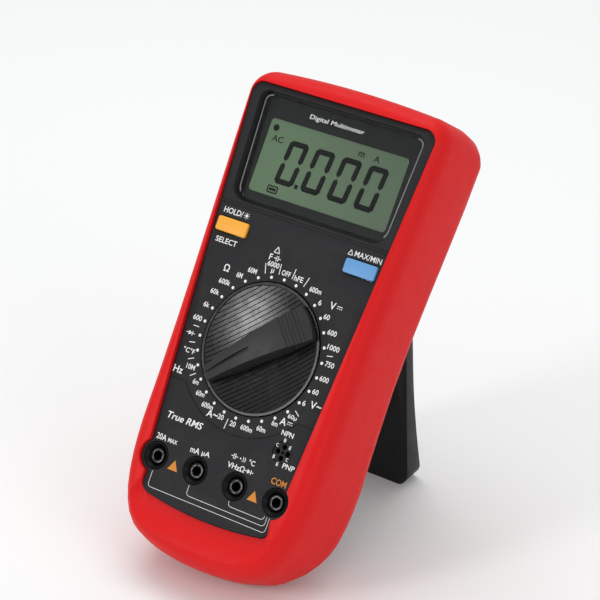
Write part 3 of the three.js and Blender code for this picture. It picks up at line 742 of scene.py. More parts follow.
def box_of(places: Sequence[Vector]) -> tuple[Vector, Vector]:
    """The lowest and the highest corner of a set of places."""
    low = Vector(min(p[k] for p in places) for k in range(3))
    high = Vector(max(p[k] for p in places) for k in range(3))
    return low, high


def copy_of(node: bpy.types.Object, name: str) -> bpy.types.Object:
    """A whole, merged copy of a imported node.

    Args:
        node: The node's object.
        name: The copy's name.

    Returns:
        The copy, with a mesh of its own.
    """
    piece = bpy.data.objects.new(name, node.data.copy())
    piece.data.materials.clear()
    bpy.context.scene.collection.objects.link(piece)
    only(piece)
    bpy.ops.object.mode_set(mode="EDIT")
    bpy.ops.mesh.select_all(action="SELECT")
    bpy.ops.mesh.remove_doubles(threshold=0.002 * MM)
    bpy.ops.mesh.dissolve_limited(angle_limit=math.radians(0.3))
    done()
    return piece


# ---------------------------------------------------------------- the drawing board


class Workshop:
    """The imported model, the drawing board of its face, and the shelf of finishes."""

    def __init__(self, frame: dict) -> None:
        """Finds the board's place from the selector's joint.
        """
        self.nodes: dict[str, bpy.types.Object] = frame["nodes"]
        joint = next(j for j in frame["joints"] if j["name"] == "selector_turn")
        out = -Vector(joint["axis"]).normalized()
        right = Vector((1, 0, 0))
        up = out.cross(right)
        turn = Matrix((right, up, out)).transposed().to_4x4()
        self.centre = Vector(joint["pos_m"])
        self.to_meter = Matrix.Translation(self.centre) @ turn
        self.to_board = self.to_meter.inverted()
        self.finishes = {slot: finish.build(slot.value) for slot, finish in FINISHES.items()}
        self.mask = MASK.build("display_mask")
        self.white_ink = WHITE_INK.build("white_ink")
        self.orange_ink = ORANGE_INK.build("orange_ink")
        self.segment_ink = SEGMENT_INK.build("segment_ink")
        # The lens's edge line is a painted highlight, not a material of the lens.
        self.glint_line = GLINT_LINE.build("lens_painted_glint")
        # The grip's finish is the knob's black made lighter as painted light.
        self.grip = LIT_GRIP.build("knob_grip_painted_light")

    def extent(self, node: str) -> tuple[Vector, Vector]:
        """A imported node's lowest and highest corners on the board.

        Args:
            node: The node's name.

        Returns:
            The two corners, in millimetres.
        """
        return box_of([self.to_board @ v.co / MM for v in self.nodes[node].data.vertices])

    def on_board(self, node: str, name: str) -> bpy.types.Object:
        """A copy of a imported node, laid on the board.

        Args:
            node: The node's name.
            name: The copy's name.

        Returns:
            The copy.
        """
        piece = copy_of(self.nodes[node], name)
        piece.data.transform(self.to_board)
        return piece

    def dress(
        self, piece: bpy.types.Object, body: Body, slot: Slot, stands_for: Sequence[str] = (),
        look: bpy.types.Material | None = None, angle: float = 32,
    ) -> bpy.types.Object:
        """Gives a piece its finish and the body it rides on.

        Args:
            piece: The piece, in its place in the meter.
            body: The body.
            slot: The slot its finish comes from.
            stands_for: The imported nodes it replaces.
            look: A finish other than the slot's own.
            angle: Edges sharper than this stay sharp, in degrees.

        Returns:
            The piece.
        """
        smooth(piece, angle)
        piece.data.materials.clear()
        piece.data.materials.append(look or self.finishes[slot])
        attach(piece, body.value)
        if stands_for:
            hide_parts(*stands_for)
        log.info("%s: %d faces on %s", piece.name, len(piece.data.polygons), body.value)
        return piece

    def fit(self, piece: bpy.types.Object, body: Body, slot: Slot, **others: object) -> bpy.types.Object:
        """Lays a piece from the board into the meter and dresses it.

        Args:
            piece: The piece, on the board.
            body: The body.
            slot: The slot its finish comes from.
            **others: As for dress.

        Returns:
            The piece.
        """
        piece.data.transform(self.to_meter)
        return self.dress(piece, body, slot, **others)

    def dress_nodes(self) -> None:
        """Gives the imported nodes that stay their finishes."""
        for slot, names in CAD_SLOTS.items():
            for name in names:
                node = self.nodes[name]
                node.data.materials.clear()
                node.data.materials.append(self.finishes[slot])
                log.info("%s: packed node in %s", name, slot.value)


# ---------------------------------------------------------------- housing


@dataclass
class Holster:
    """The rubber holster, its edges softened as a moulding's are. Sizes are in millimetres."""

    shop: Workshop
    edge: float = 0.7

    def build(self) -> None:
        """Makes the holster."""
        piece = copy_of(self.shop.nodes["holster"], "holster_rubber")
        round_edges(piece, self.edge, 3, 38)
        self.shop.dress(piece, Body.METER, Slot.HOLSTER, ["holster"], angle=42)


@dataclass
class Panel:
    """The front case, with the fine lines moulded into its panel. Sizes are in millimetres."""

    shop: Workshop
    line_width: float = 0.35
    line_depth: float = 0.3
    double_y: float = 47.6
    double_gap: float = 1.0
    step_y: float = -20.5
    arc: float = 32.7
    reach: float = 60
    edge: float = 0.22

    def lines(self) -> bpy.types.Object:
        """The tool that cuts the lines."""
        half = self.line_width / 2
        pieces = [
            block("line", (-self.reach, y - half, -self.line_depth), (self.reach, y + half, 2))
            for y in (self.double_y - self.double_gap / 2, self.double_y + self.double_gap / 2)
        ]
        join = math.sqrt(self.arc**2 - self.step_y**2)
        for side in (-1, 1):
            ends = sorted((side * join, side * self.reach))
            low = (ends[0], self.step_y - half, -self.line_depth)
            pieces.append(block("line", low, (ends[1], self.step_y + half, 2)))
        return gather("lines", pieces)

    def arc_line(self) -> bpy.types.Object:
        """The tool that cuts the line round the dial's lower side."""
        ring = drum("arc", self.arc + self.line_width / 2, -self.line_depth, 2, sides=128)
        combine(ring, drum("core", self.arc - self.line_width / 2, -5, 5, sides=128))
        keep = block("keep", (-self.reach, -self.reach, -5), (self.reach, self.step_y, 5))
        combine(ring, keep, "INTERSECT")
        return ring

    def build(self) -> None:
        """Makes the front case."""
        piece = self.shop.on_board("front_case", "front_panel")
        combine(piece, self.lines())
        combine(piece, self.arc_line())
        round_edges(piece, self.edge, 2, 50)
        self.shop.fit(piece, Body.METER, Slot.PANEL, stands_for=["front_case"], angle=30)


@dataclass
class TiltStand:
    """The folding stand, its edges softened. Sizes are in millimetres."""

    shop: Workshop
    edge: float = 0.45

    def build(self) -> None:
        """Makes the stand."""
        piece = copy_of(self.shop.nodes["tilt_stand"], "stand_moulding")
        round_edges(piece, self.edge, 2, 38)
        self.shop.dress(piece, Body.STAND, Slot.STAND, ["tilt_stand"], angle=36)


# ---------------------------------------------------------------- controls


@dataclass
class SelectorKnob:
    """The range knob: a dished, ribbed disc with a wedge-shaped grip across it.

    It is modelled pointing up the board and then turned. Sizes are in millimetres.
    """

    shop: Workshop
    pointer: float = 228.0
    under: float = -3.1
    rim_top: float = 0.3
    rim_width: float = 0.9
    rim_wall: float = 0.25
    dish_floor: float = -2.45
    dish_rise: float = 2.35
    rings: int = 7
    rib_pitch: float = 1.68
    rib_gap: float = 0.32
    rib_depth: float = 0.45
    rib_start: float = 0.8
    rib_margin: float = 0.6
    wide_half: float = 7.0
    narrow_half: float = 2.6
    end_inset: float = 1.3
    end_height: float = 2.6
    edge: float = 0.55
    line_half: float = 0.75
    line_start: float = 1.5
    line_depth: float = 0.6
    notch: float = 1.0
    notch_depth: float = 0.5
    notch_places: tuple[float, ...] = (-13.6, -16.4, -19.2)
    stem: float = 5.0

    def level(self, radius: float, edge: float) -> float:
        """The dish's height at a radius, from the radius of its edge."""
        return self.dish_floor + self.dish_rise * (radius / edge) ** 2

    def disc(self, radius: float) -> bpy.types.Object:
        """The dished disc with its ribs.

        Args:
            radius: Its outer radius.

        Returns:
            The disc.
        """
        piece = drum("dial_disc", radius, self.under, self.rim_top, sides=128)
        pick(piece, Part.FACE, lambda centre, normal: normal.z > 0.9)
        step_in(self.rim_width, 0)
        edge = radius - self.rim_width - self.rim_wall
        step_in(self.rim_wall, self.rim_top - self.level(edge, edge))
        stride = edge / (self.rings + 1)
        for ring in range(self.rings):
            outer, inner = edge - ring * stride, edge - (ring + 1) * stride
            step_in(stride, self.level(outer, edge) - self.level(inner, edge))
        done()
        slots = []
        for side in (-1, 1):
            offset = self.narrow_half + self.rib_start
            while offset < edge - self.rib_margin:
                half = math.sqrt(edge**2 - offset**2) - 0.2
                floor = self.level(offset, edge) - self.rib_depth
                x = side * offset
                low = (x - self.rib_gap / 2, -half, floor)
                slots.append(block("slot", low, (x + self.rib_gap / 2, half, 3)))
                offset += self.rib_pitch
        combine(piece, gather("slots", slots))
        return piece

    def roller(
        self, name: str, radius: float, half: float, y: float, z: float, sides: int
    ) -> bpy.types.Object:
        """A round bar lying across the grip.

        Args:
            name: Its name.
            radius: Its radius.
            half: Half its length.
            y: Its place along the grip.
            z: Its height.
            sides: How many sides it has.

        Returns:
            The bar.
        """
        bar = drum(name, radius, -half, half, sides=sides)
        bar.rotation_euler = (0, math.radians(90), 0)
        bar.location = (0, y * MM, z * MM)
        settle(bar)
        return bar

    def crown(self, y: float, top: float, end: float) -> float:
        """The grip's height along its length."""
        return top - (top - self.end_height) * (y / end) ** 2

    def grip(self, radius: float, top: float) -> bpy.types.Object:
        """The wedge-shaped grip with its pointer line and finger notches.

        Args:
            radius: The knob's radius.
            top: The grip's highest point.

        Returns:
            The grip.
        """
        end = radius - self.end_inset
        piece = block("grip", (-self.wide_half, -end, self.under + 1), (self.wide_half, end, top))
        pick(piece, Part.FACE, lambda centre, normal: normal.y > 0.9)
        bpy.ops.transform.resize(value=(self.narrow_half / self.wide_half, 1, 1))
        done()
        rise = top - self.end_height
        sweep = (end**2 + rise**2) / (2 * rise)
        bow = self.roller("bow", sweep, THROUGH, 0, top - sweep, 360)
        combine(piece, bow, "INTERSECT")
        combine(piece, drum("ends", end, -THROUGH, THROUGH, sides=128), "INTERSECT")
        round_edges(piece, self.edge, 3, 40)
        tools = []
        for y in self.notch_places:
            z = self.crown(y, top, end) + self.notch - self.notch_depth
            tools.append(self.roller("notch", self.notch, 9, y, z, 24))
        line = block("line", (-self.line_half, 0, -0.5), (self.line_half, end - 1.0, 3))
        line.rotation_euler = (-math.atan2(top - self.end_height, end), 0, 0)
        line.location = (0, self.line_start * MM, (top + 0.5 - self.line_depth) * MM)
        settle(line)
        for tool in (*tools, line):
            combine(piece, tool)
        return piece

    def build(self) -> None:
        """Makes the knob."""
        low, high = self.shop.extent("selector_knob")
        radius = (high.x - low.x) / 2
        disc = self.disc(radius)
        grip = self.grip(radius, high.z)
        stem = drum("stem", self.stem, low.z, self.under + 0.5)
        dial = gather("range_knob", [disc, stem])
        turn = Matrix.Rotation(math.radians(-self.pointer), 4, "Z")
        dial.data.transform(turn)
        self.shop.fit(dial, Body.SELECTOR, Slot.KNOB, stands_for=["selector_knob"], angle=28)
        grip.name = "range_knob_grip"
        grip.data.transform(turn)
        # The grip gets a lighter grey than the disc: painted light for the light on its top.
        self.shop.fit(grip, Body.SELECTOR, Slot.KNOB, look=self.shop.grip, angle=28)


@dataclass
class PressKey:
    """One coloured key with rounded corners and edges, on its stem. Sizes are in millimetres."""

    shop: Workshop
    node: str
    body: Body
    slot: Slot
    corner: float = 0.9
    edge: float = 0.45
    under: float = -3.0
    stem: tuple[float, float] = (2.5, 2.0)

    def build(self) -> None:
        """Makes the key."""
        low, high = self.shop.extent(self.node)
        piece = block(f"{self.node}_cap", (low.x, low.y, self.under), tuple(high))
        pick(piece, Part.EDGE, lambda middle, way: abs(way.z) > 0.9)
        bpy.ops.mesh.bevel(offset=self.corner * MM, segments=5)
        done()
        round_edges(piece, self.edge, 4, 40)
        middle = (low + high) / 2
        foot = (middle.x - self.stem[0], middle.y - self.stem[1], low.z)
        stem = block("stem", foot, (middle.x + self.stem[0], middle.y + self.stem[1], self.under + 0.2))
        whole = gather(f"{self.node}_cap", [piece, stem])
        self.shop.fit(whole, self.body, self.slot, stands_for=[self.node], angle=40)


# ---------------------------------------------------------------- sockets


@dataclass
class InputJacks:
    """The four jacks: a countersunk collar, and a sleeve that lines its contact. Sizes are in millimetres."""

    shop: Workshop
    proud: float = 0.35
    collar_lip: float = 0.45
    well: float = 3.4
    well_depth: float = 7.0
    cone_depth: float = 1.6
    sleeve: float = 2.85
    sleeve_top: float = -1.1
    lining: float = 1.94
    lining_end: float = -8.5
    bore: float = 1.78
    slack: float = 0.05

    def collar(self, index: int) -> None:
        """Makes one collar.

        Args:
            index: The jack's number.
        """
        low, high = self.shop.extent(f"jack_collar_{index}")
        centre = (low + high) / 2
        radius = (high.x - low.x) / 2
        name = f"jack_{index}_collar"
        piece = drum(name, radius, low.z, high.z + self.proud, centre.x, centre.y)
        pick(piece, Part.FACE, lambda middle, normal: normal.z > 0.9)
        step_in(self.collar_lip, 0)
        step_in(radius - self.collar_lip - self.well, self.cone_depth)
        push(0, 0, -self.well_depth)
        done()
        round_edges(piece, 0.2, 2, 30)
        self.shop.fit(piece, Body.METER, Slot.BLACK, stands_for=[f"jack_collar_{index}"])

    def insulator(self, index: int) -> None:
        """Makes one sleeve.

        Args:
            index: The jack's number.
        """
        low, high = self.shop.extent(f"jack_tube_{index}")
        centre = (low + high) / 2
        name = f"jack_{index}_sleeve"
        piece = drum(name, self.sleeve, self.lining_end - 0.5, self.sleeve_top, centre.x, centre.y, 48)
        outer = (high.x - low.x) / 2 + self.slack
        room = drum("room", outer, -THROUGH, high.z + self.slack, centre.x, centre.y, 48)
        combine(room, drum("core", self.lining, self.lining_end, CLEAR, centre.x, centre.y, 48))
        combine(piece, room)
        combine(piece, drum("bore", self.bore, -THROUGH, CLEAR, centre.x, centre.y, 48))
        round_edges(piece, 0.12, 2, 40)
        self.shop.fit(piece, Body.METER, Slot.KNOB)

    def build(self) -> None:
        """Makes all four jacks."""
        for index in range(1, 5):
            self.collar(index)
            self.insulator(index)


@dataclass
class TransistorSocket:
    """The round test socket with its pin holes. Sizes are in millimetres."""

    shop: Workshop
    pins: int = 4
    ring: float = 2.15
    pin_bore: float = 1.05
    key_half: float = 0.5
    lip: float = 0.35

    def build(self) -> None:
        """Makes the socket."""
        low, high = self.shop.extent("transistor_socket")
        centre = (low + high) / 2
        radius = (high.x - low.x) / 2
        piece = drum("test_socket", radius, low.z, high.z + 0.1, centre.x, centre.y)
        pick(piece, Part.FACE, lambda middle, normal: normal.z > 0.9)
        step_in(self.lip, 0)
        step_in(0.1, 0.25)
        done()
        holes = []
        for pin in range(self.pins):
            turn = math.radians(pin * 360 / self.pins)
            x, y = centre.x + self.ring * math.cos(turn), centre.y + self.ring * math.sin(turn)
            holes.append(drum("pin", self.pin_bore, -5, 3, x, y, 12))
        combine(piece, gather("pins", holes))
        low, high = (
            (centre.x + side * self.key_half, centre.y + side * self.key_half, z)
            for side, z in ((-1, -2), (1, 3))
        )
        combine(piece, block("key", low, high))
        round_edges(piece, 0.08, 1, 50)
        self.shop.fit(piece, Body.METER, Slot.PANEL, stands_for=["transistor_socket"])


# ---------------------------------------------------------------- printing


@dataclass
class Sheet:
    """A sheet of flat print: words, strokes, dots and triangles, all of one ink. In millimetres."""

    low: float
    high: float

    def __post_init__(self) -> None:
        """Starts with nothing printed."""
        self.marks: list[bpy.types.Object] = []

    def word(
        self, text: str, x: float, y: float, height: float, width: float | None = None, slant: float = 0,
        weight: float = 0.012,
    ) -> None:
        """Prints a word.

        Args:
            text: The word.
            x: Its centre across.
            y: Its centre up.
            height: Its height.
            width: Its width, or None for the font's own.
            slant: How far it leans, as a share of its height.
            weight: How much thicker the letters are, as a share of their height.
        """
        bpy.ops.object.select_all(action="DESELECT")
        bpy.ops.object.text_add()
        letters = bpy.context.object
        letters.data.body = text
        letters.data.resolution_u = 3
        letters.data.offset = weight
        letters.data.extrude = 0.5
        only(letters)
        bpy.ops.object.convert(target="MESH")
        mark = bpy.context.object
        low, high = box_of([v.co for v in mark.data.vertices])
        tall = height * MM / (high.y - low.y)
        wide = tall if width is None else width * MM / (high.x - low.x)
        mark.data.transform(Matrix.Translation(-(low + high) / 2))
        deep = (self.high - self.low) * MM
        mark.data.transform(Matrix.Diagonal((wide, tall, deep, 1)))
        lean = Matrix.Identity(4)
        lean[0][1] = slant
        mark.data.transform(lean)
        mark.data.transform(Matrix.Translation(Vector((x, y, (self.low + self.high) / 2)) * MM))
        self.marks.append(mark)

    def stroke(self, start: Sequence[float], end: Sequence[float], width: float = 0.28) -> None:
        """Prints a straight stroke.

        Args:
            start: Where it starts.
            end: Where it ends.
            width: Its width.
        """
        way = Vector(end) - Vector(start)
        middle = (Vector(start) + Vector(end)) / 2
        half = Vector((way.length / 2, width / 2))
        mark = block("stroke", (-half.x, -half.y, self.low), (half.x, half.y, self.high))
        turn = Matrix.Rotation(math.atan2(way.y, way.x), 4, "Z")
        mark.data.transform(Matrix.Translation(Vector((middle.x, middle.y, 0)) * MM) @ turn)
        self.marks.append(mark)

    def path(self, points: Sequence[Sequence[float]], width: float = 0.28, closed: bool = False) -> None:
        """Prints a line through points.

        Args:
            points: The points.
            width: The line's width.
            closed: Whether it ends where it starts.
        """
        ends = [*points[1:], points[0]] if closed else points[1:]
        for start, end in zip(points, ends):
            self.stroke(start, end, width)

    def dot(self, x: float, y: float, radius: float, sides: int = 20) -> None:
        """Prints a dot, or with three sides a triangle."""
        self.marks.append(drum("dot", radius, self.low, self.high, x, y, sides))

    def bind(self, name: str) -> bpy.types.Object:
        """Joins the marks into one piece."""
        return gather(name, self.marks)


class Ring(Enum):
    """How long the bars between the groups of the dial are."""

    SHORT = (28.0, 30.6)
    LONG = (28.0, 31.9)


@dataclass
class FacePrint:
    """All that is printed on the panel. Sizes are in millimetres.

    RANGES names the dial's steps clockwise from the top, BARS has the bars between groups by step, and
    NUDGES has how far a name sits from its place on the ring.
    """

    shop: Workshop
    dot_ring: float = 26.6
    dot: float = 0.58
    letter: float = 2.0
    letter_width: float = 1.28

    RANGES = (
        "OFF", "hFE", "600m", "6", "60", "600", "1000", "750", "600", "60", "6", "60µ", "6m", "60m",
        "600m", "20", "20", "600m", "60m", "6m", "10M", "°C°F", "", "600", "6k", "60k", "600k",
        "6M", "60M", "6000",
    )
    BARS = {
        28.5: Ring.LONG, 29.5: Ring.LONG, 0.5: Ring.LONG, 1.5: Ring.LONG, 6.5: Ring.SHORT, 10.5: Ring.SHORT,
        15.5: Ring.LONG, 19.5: Ring.SHORT, 20.5: Ring.SHORT, 21.5: Ring.SHORT, 22.5: Ring.SHORT,
    }
    NUDGES = {
        0: (-0.1, 0.4), 1: (-0.3, 0.3), 2: (2.0, -0.2), 3: (0.5, -0.2), 4: (0.4, -0.5), 5: (0.7, -0.6),
        6: (0.3, -0.1), 7: (0.4, 0.1), 8: (0.3, 0.7), 9: (0.3, 1.3), 10: (0.2, 1.5), 11: (0.4, 0.6),
        12: (-0.8, 0.2), 13: (-0.2, -0.3), 14: (-0.3, -0.3), 15: (-0.4, -0.3), 16: (-0.2, 0.1),
        17: (-1.2, 0.9), 18: (-0.5, 1.0), 19: (0.3, 0.2), 23: (-0.6, 0), 24: (-0.5, -0.2), 25: (-0.9, -0.5),
        26: (-1.7, -1.2), 27: (-1.7, -0.6), 28: (-2.3, -0.6),
    }

    def at(self, step: float, radius: float) -> Vector:
        """A point on the dial, counted clockwise from the top in steps of the detent."""
        turn = math.radians(step * 360 / len(self.RANGES))
        return Vector((radius * math.sin(turn), radius * math.cos(turn)))

    def dial(self, sheet: Sheet) -> None:
        """Prints the dial.

        Args:
            sheet: The sheet.
        """
        for step, text in enumerate(self.RANGES):
            spot = self.at(step, self.dot_ring)
            sheet.dot(spot.x, spot.y, self.dot)
            if not text:
                continue
            half = Vector((len(text) * self.letter_width / 2, self.letter / 2))
            way = spot.normalized()
            reach = 1.15 + 0.88 * (half.x * abs(way.x) + half.y * abs(way.y))
            lift = 2.3 if text == "6000" else 0
            place = spot + way * (reach + lift) + Vector(self.NUDGES.get(step, (0, 0)))
            sheet.word(text, place.x, place.y, self.letter, 2 * half.x)
        for step, ring in self.BARS.items():
            start, end = (self.at(step, radius) for radius in ring.value)
            sheet.stroke(start, end, 0.3)
        small = self.at(29, self.dot_ring + 2.2)
        sheet.word("µ", small.x, small.y, 1.9, 1.2)

    def direct(self, sheet: Sheet, x: float, y: float) -> None:
        """Prints the sign for direct current.

        Args:
            sheet: The sheet.
            x: Its centre across.
            y: Its centre up.
        """
        sheet.stroke((x - 1.1, y + 0.4), (x + 1.1, y + 0.4), 0.26)
        for shift in (-0.85, 0, 0.85):
            sheet.stroke((x + shift - 0.26, y - 0.35), (x + shift + 0.26, y - 0.35), 0.26)

    def capacitor(self, sheet: Sheet, x: float, y: float) -> None:
        """Prints the sign for a capacitor.

        Args:
            sheet: The sheet.
            x: Its centre across.
            y: Its centre up.
        """
        for side in (-1, 1):
            sheet.stroke((x + side * 0.35, y - 1.0), (x + side * 0.35, y + 1.0), 0.28)
            sheet.stroke((x + side * 0.35, y), (x + side * 1.5, y), 0.28)

    def diode(self, sheet: Sheet, x: float, y: float) -> None:
        """Prints the sign for a diode.

        Args:
            sheet: The sheet.
            x: Its centre across.
            y: Its centre up.
        """
        sheet.stroke((x - 1.9, y), (x + 1.9, y), 0.26)
        sheet.stroke((x + 0.8, y - 0.85), (x + 0.8, y + 0.85), 0.28)
        for share in range(5):
            width = 0.75 * (1 - share / 5)
            sheet.stroke((x - 0.7 + share * 0.28, y - width), (x - 0.7 + share * 0.28, y + width), 0.3)

    def buzz(self, sheet: Sheet, x: float, y: float) -> None:
        """Prints the sign for sound.

        Args:
            sheet: The sheet.
            x: Its left end.
            y: Its centre up.
        """
        sheet.dot(x, y, 0.32, 12)
        sheet.word("))", x + 1.5, y, 1.9, 1.5)

    def triangle(self, sheet: Sheet, x: float, y: float, half: float, width: float = 0.3) -> None:
        """Prints an open triangle.

        Args:
            sheet: The sheet.
            x: Its centre across.
            y: Its centre up.
            half: Half its height.
            width: Its line's width.
        """
        corners = [(x - half * 1.05, y - half), (x + half * 1.05, y - half), (x, y + half)]
        sheet.path(corners, width, closed=True)

    def groups(self, sheet: Sheet) -> None:
        """Prints the names of the groups round the dial.

        Args:
            sheet: The sheet.
        """
        sheet.word("Ω", -25.1, 24.0, 2.8)
        sheet.word("V", 22.9, 23.5, 2.7)
        self.direct(sheet, 25.9, 23.5)
        sheet.word("V", 28.9, -12.4, 2.7)
        sheet.word("~", 31.4, -12.4, 0.8, 2.1, weight=0.03)
        sheet.word("Hz", -30.5, -17.2, 2.7)
        sheet.word("A", -11.1, -28.3, 2.7)
        sheet.word("~", -8.6, -28.3, 0.8, 2.1, weight=0.03)
        sheet.word("A", 19.4, -21.6, 2.7)
        self.direct(sheet, 22.3, -21.6)
        self.triangle(sheet, -6.9, 36.2, 1.15)
        sheet.word("F", -8.7, 33.1, 2.3)
        self.capacitor(sheet, -5.8, 33.1)
        diode = self.at(22, self.dot_ring + 3.6)
        self.diode(sheet, diode.x - 0.6, diode.y + 0.1)

    def keys(self, sheet: Sheet) -> None:
        """Prints the names of the keys and of the meter.

        Args:
            sheet: The sheet.
        """
        sheet.word("HOLD/", -30.4, 44.4, 2.2, 8.6)
        lamp = Vector((-24.4, 44.4))
        sheet.dot(lamp.x, lamp.y, 0.6, 14)
        for turn in range(8):
            way = Vector((math.cos(turn * math.pi / 4), math.sin(turn * math.pi / 4)))
            sheet.stroke(lamp + way * 0.85, lamp + way * 1.25, 0.2)
        sheet.word("SELECT", -29.2, 33.2, 2.1, 9.6)
        self.triangle(sheet, 22.6, 43.9, 0.95, 0.26)
        sheet.word("MAX/MIN", 30.2, 43.9, 2.1, 11.6, 0, 0.004)
        sheet.word("Digital Multimeter", -0.7, 86.1, 2.2, 24.0, 0.12, 0.0)
        sheet.word("True RMS", -20.4, -34.0, 2.6, 16.2, 0.2)

    def jacks(self, sheet: Sheet) -> None:
        """Prints the names of the jacks and of the socket's pins.

        Args:
            sheet: The sheet.
        """
        sheet.word("20A", -27.5, -42.7, 2.3, 4.5)
        sheet.word("MAX", -22.3, -42.9, 1.6, 4.2)
        sheet.word("mA", -11.8, -42.9, 2.2, 4.1)
        sheet.word("µA", -6.9, -42.9, 2.3, 3.6)
        self.capacitor(sheet, 5.0, -39.6)
        self.buzz(sheet, 7.7, -39.6)
        sheet.word("°C", 12.8, -39.6, 2.0, 2.7)
        sheet.word("VHzΩ", 7.0, -43.0, 2.2, 7.6)
        self.diode(sheet, 12.9, -43.0)
        low, high = self.shop.extent("transistor_socket")
        middle = (low + high) / 2
        sheet.word("NPN", middle.x - 0.3, middle.y + 6.9, 1.9, 5.2)
        sheet.word("PNP", middle.x + 4.6, middle.y - 4.2, 1.9, 5.2)
        pins = (
            ("C", -2.9, 2.1), ("B", -0.4, 4.5), ("E", 2.6, 2.5),
            ("B", -2.7, -2.3), ("C", 2.9, -1.9), ("E", -0.3, -4.5),
        )
        for text, x, y in pins:
            sheet.word(text, middle.x + x, middle.y + y, 1.3, 0.95)

    def brackets(self, sheet: Sheet) -> None:
        """Prints the nested bracket lines below the jacks.

        Args:
            sheet: The sheet.
        """
        corner = 1.4
        steps = [math.radians(90 * step / 5) for step in range(6)]
        last = self.shop.extent("jack_collar_4")
        lines = ((1, 0.8, -61.5, 0.2), (2, -0.2, -59.4, -0.9), (3, 0.0, -57.3, -2.0))
        for index, left, drop, right in lines:
            low, high = self.shop.extent(f"jack_collar_{index}")
            start, end = (low.x + high.x) / 2 + left, (last[0].x + last[1].x) / 2 + right
            points = [(start, low.y - 0.6)]
            points += [(start + corner * (1 - math.cos(t)), drop + corner * (1 - math.sin(t))) for t in steps]
            points += [(end - corner * (1 - math.sin(t)), drop + corner * (1 - math.cos(t))) for t in steps]
            points.append((end, low.y - 0.9))
            sheet.path(points, 0.17)

    def build(self) -> None:
        """Makes the white and the orange print."""
        white = Sheet(-0.02, 0.035)
        for draw in (self.dial, self.groups, self.keys, self.jacks, self.brackets):
            draw(white)
        look = self.shop.white_ink
        self.shop.fit(white.bind("face_print_white"), Body.METER, Slot.WHITE, look=look)
        orange = Sheet(-0.02, 0.035)
        orange.word("COM", 26.1, -42.7, 2.4, 6.6)
        for x, y in ((-18.4, -51.2), (17.9, -50.8)):
            orange.dot(x, y - 0.4, 2.6, 3)
        look = self.shop.orange_ink
        self.shop.fit(orange.bind("face_print_orange"), Body.METER, Slot.YELLOW, look=look)


# ---------------------------------------------------------------- display


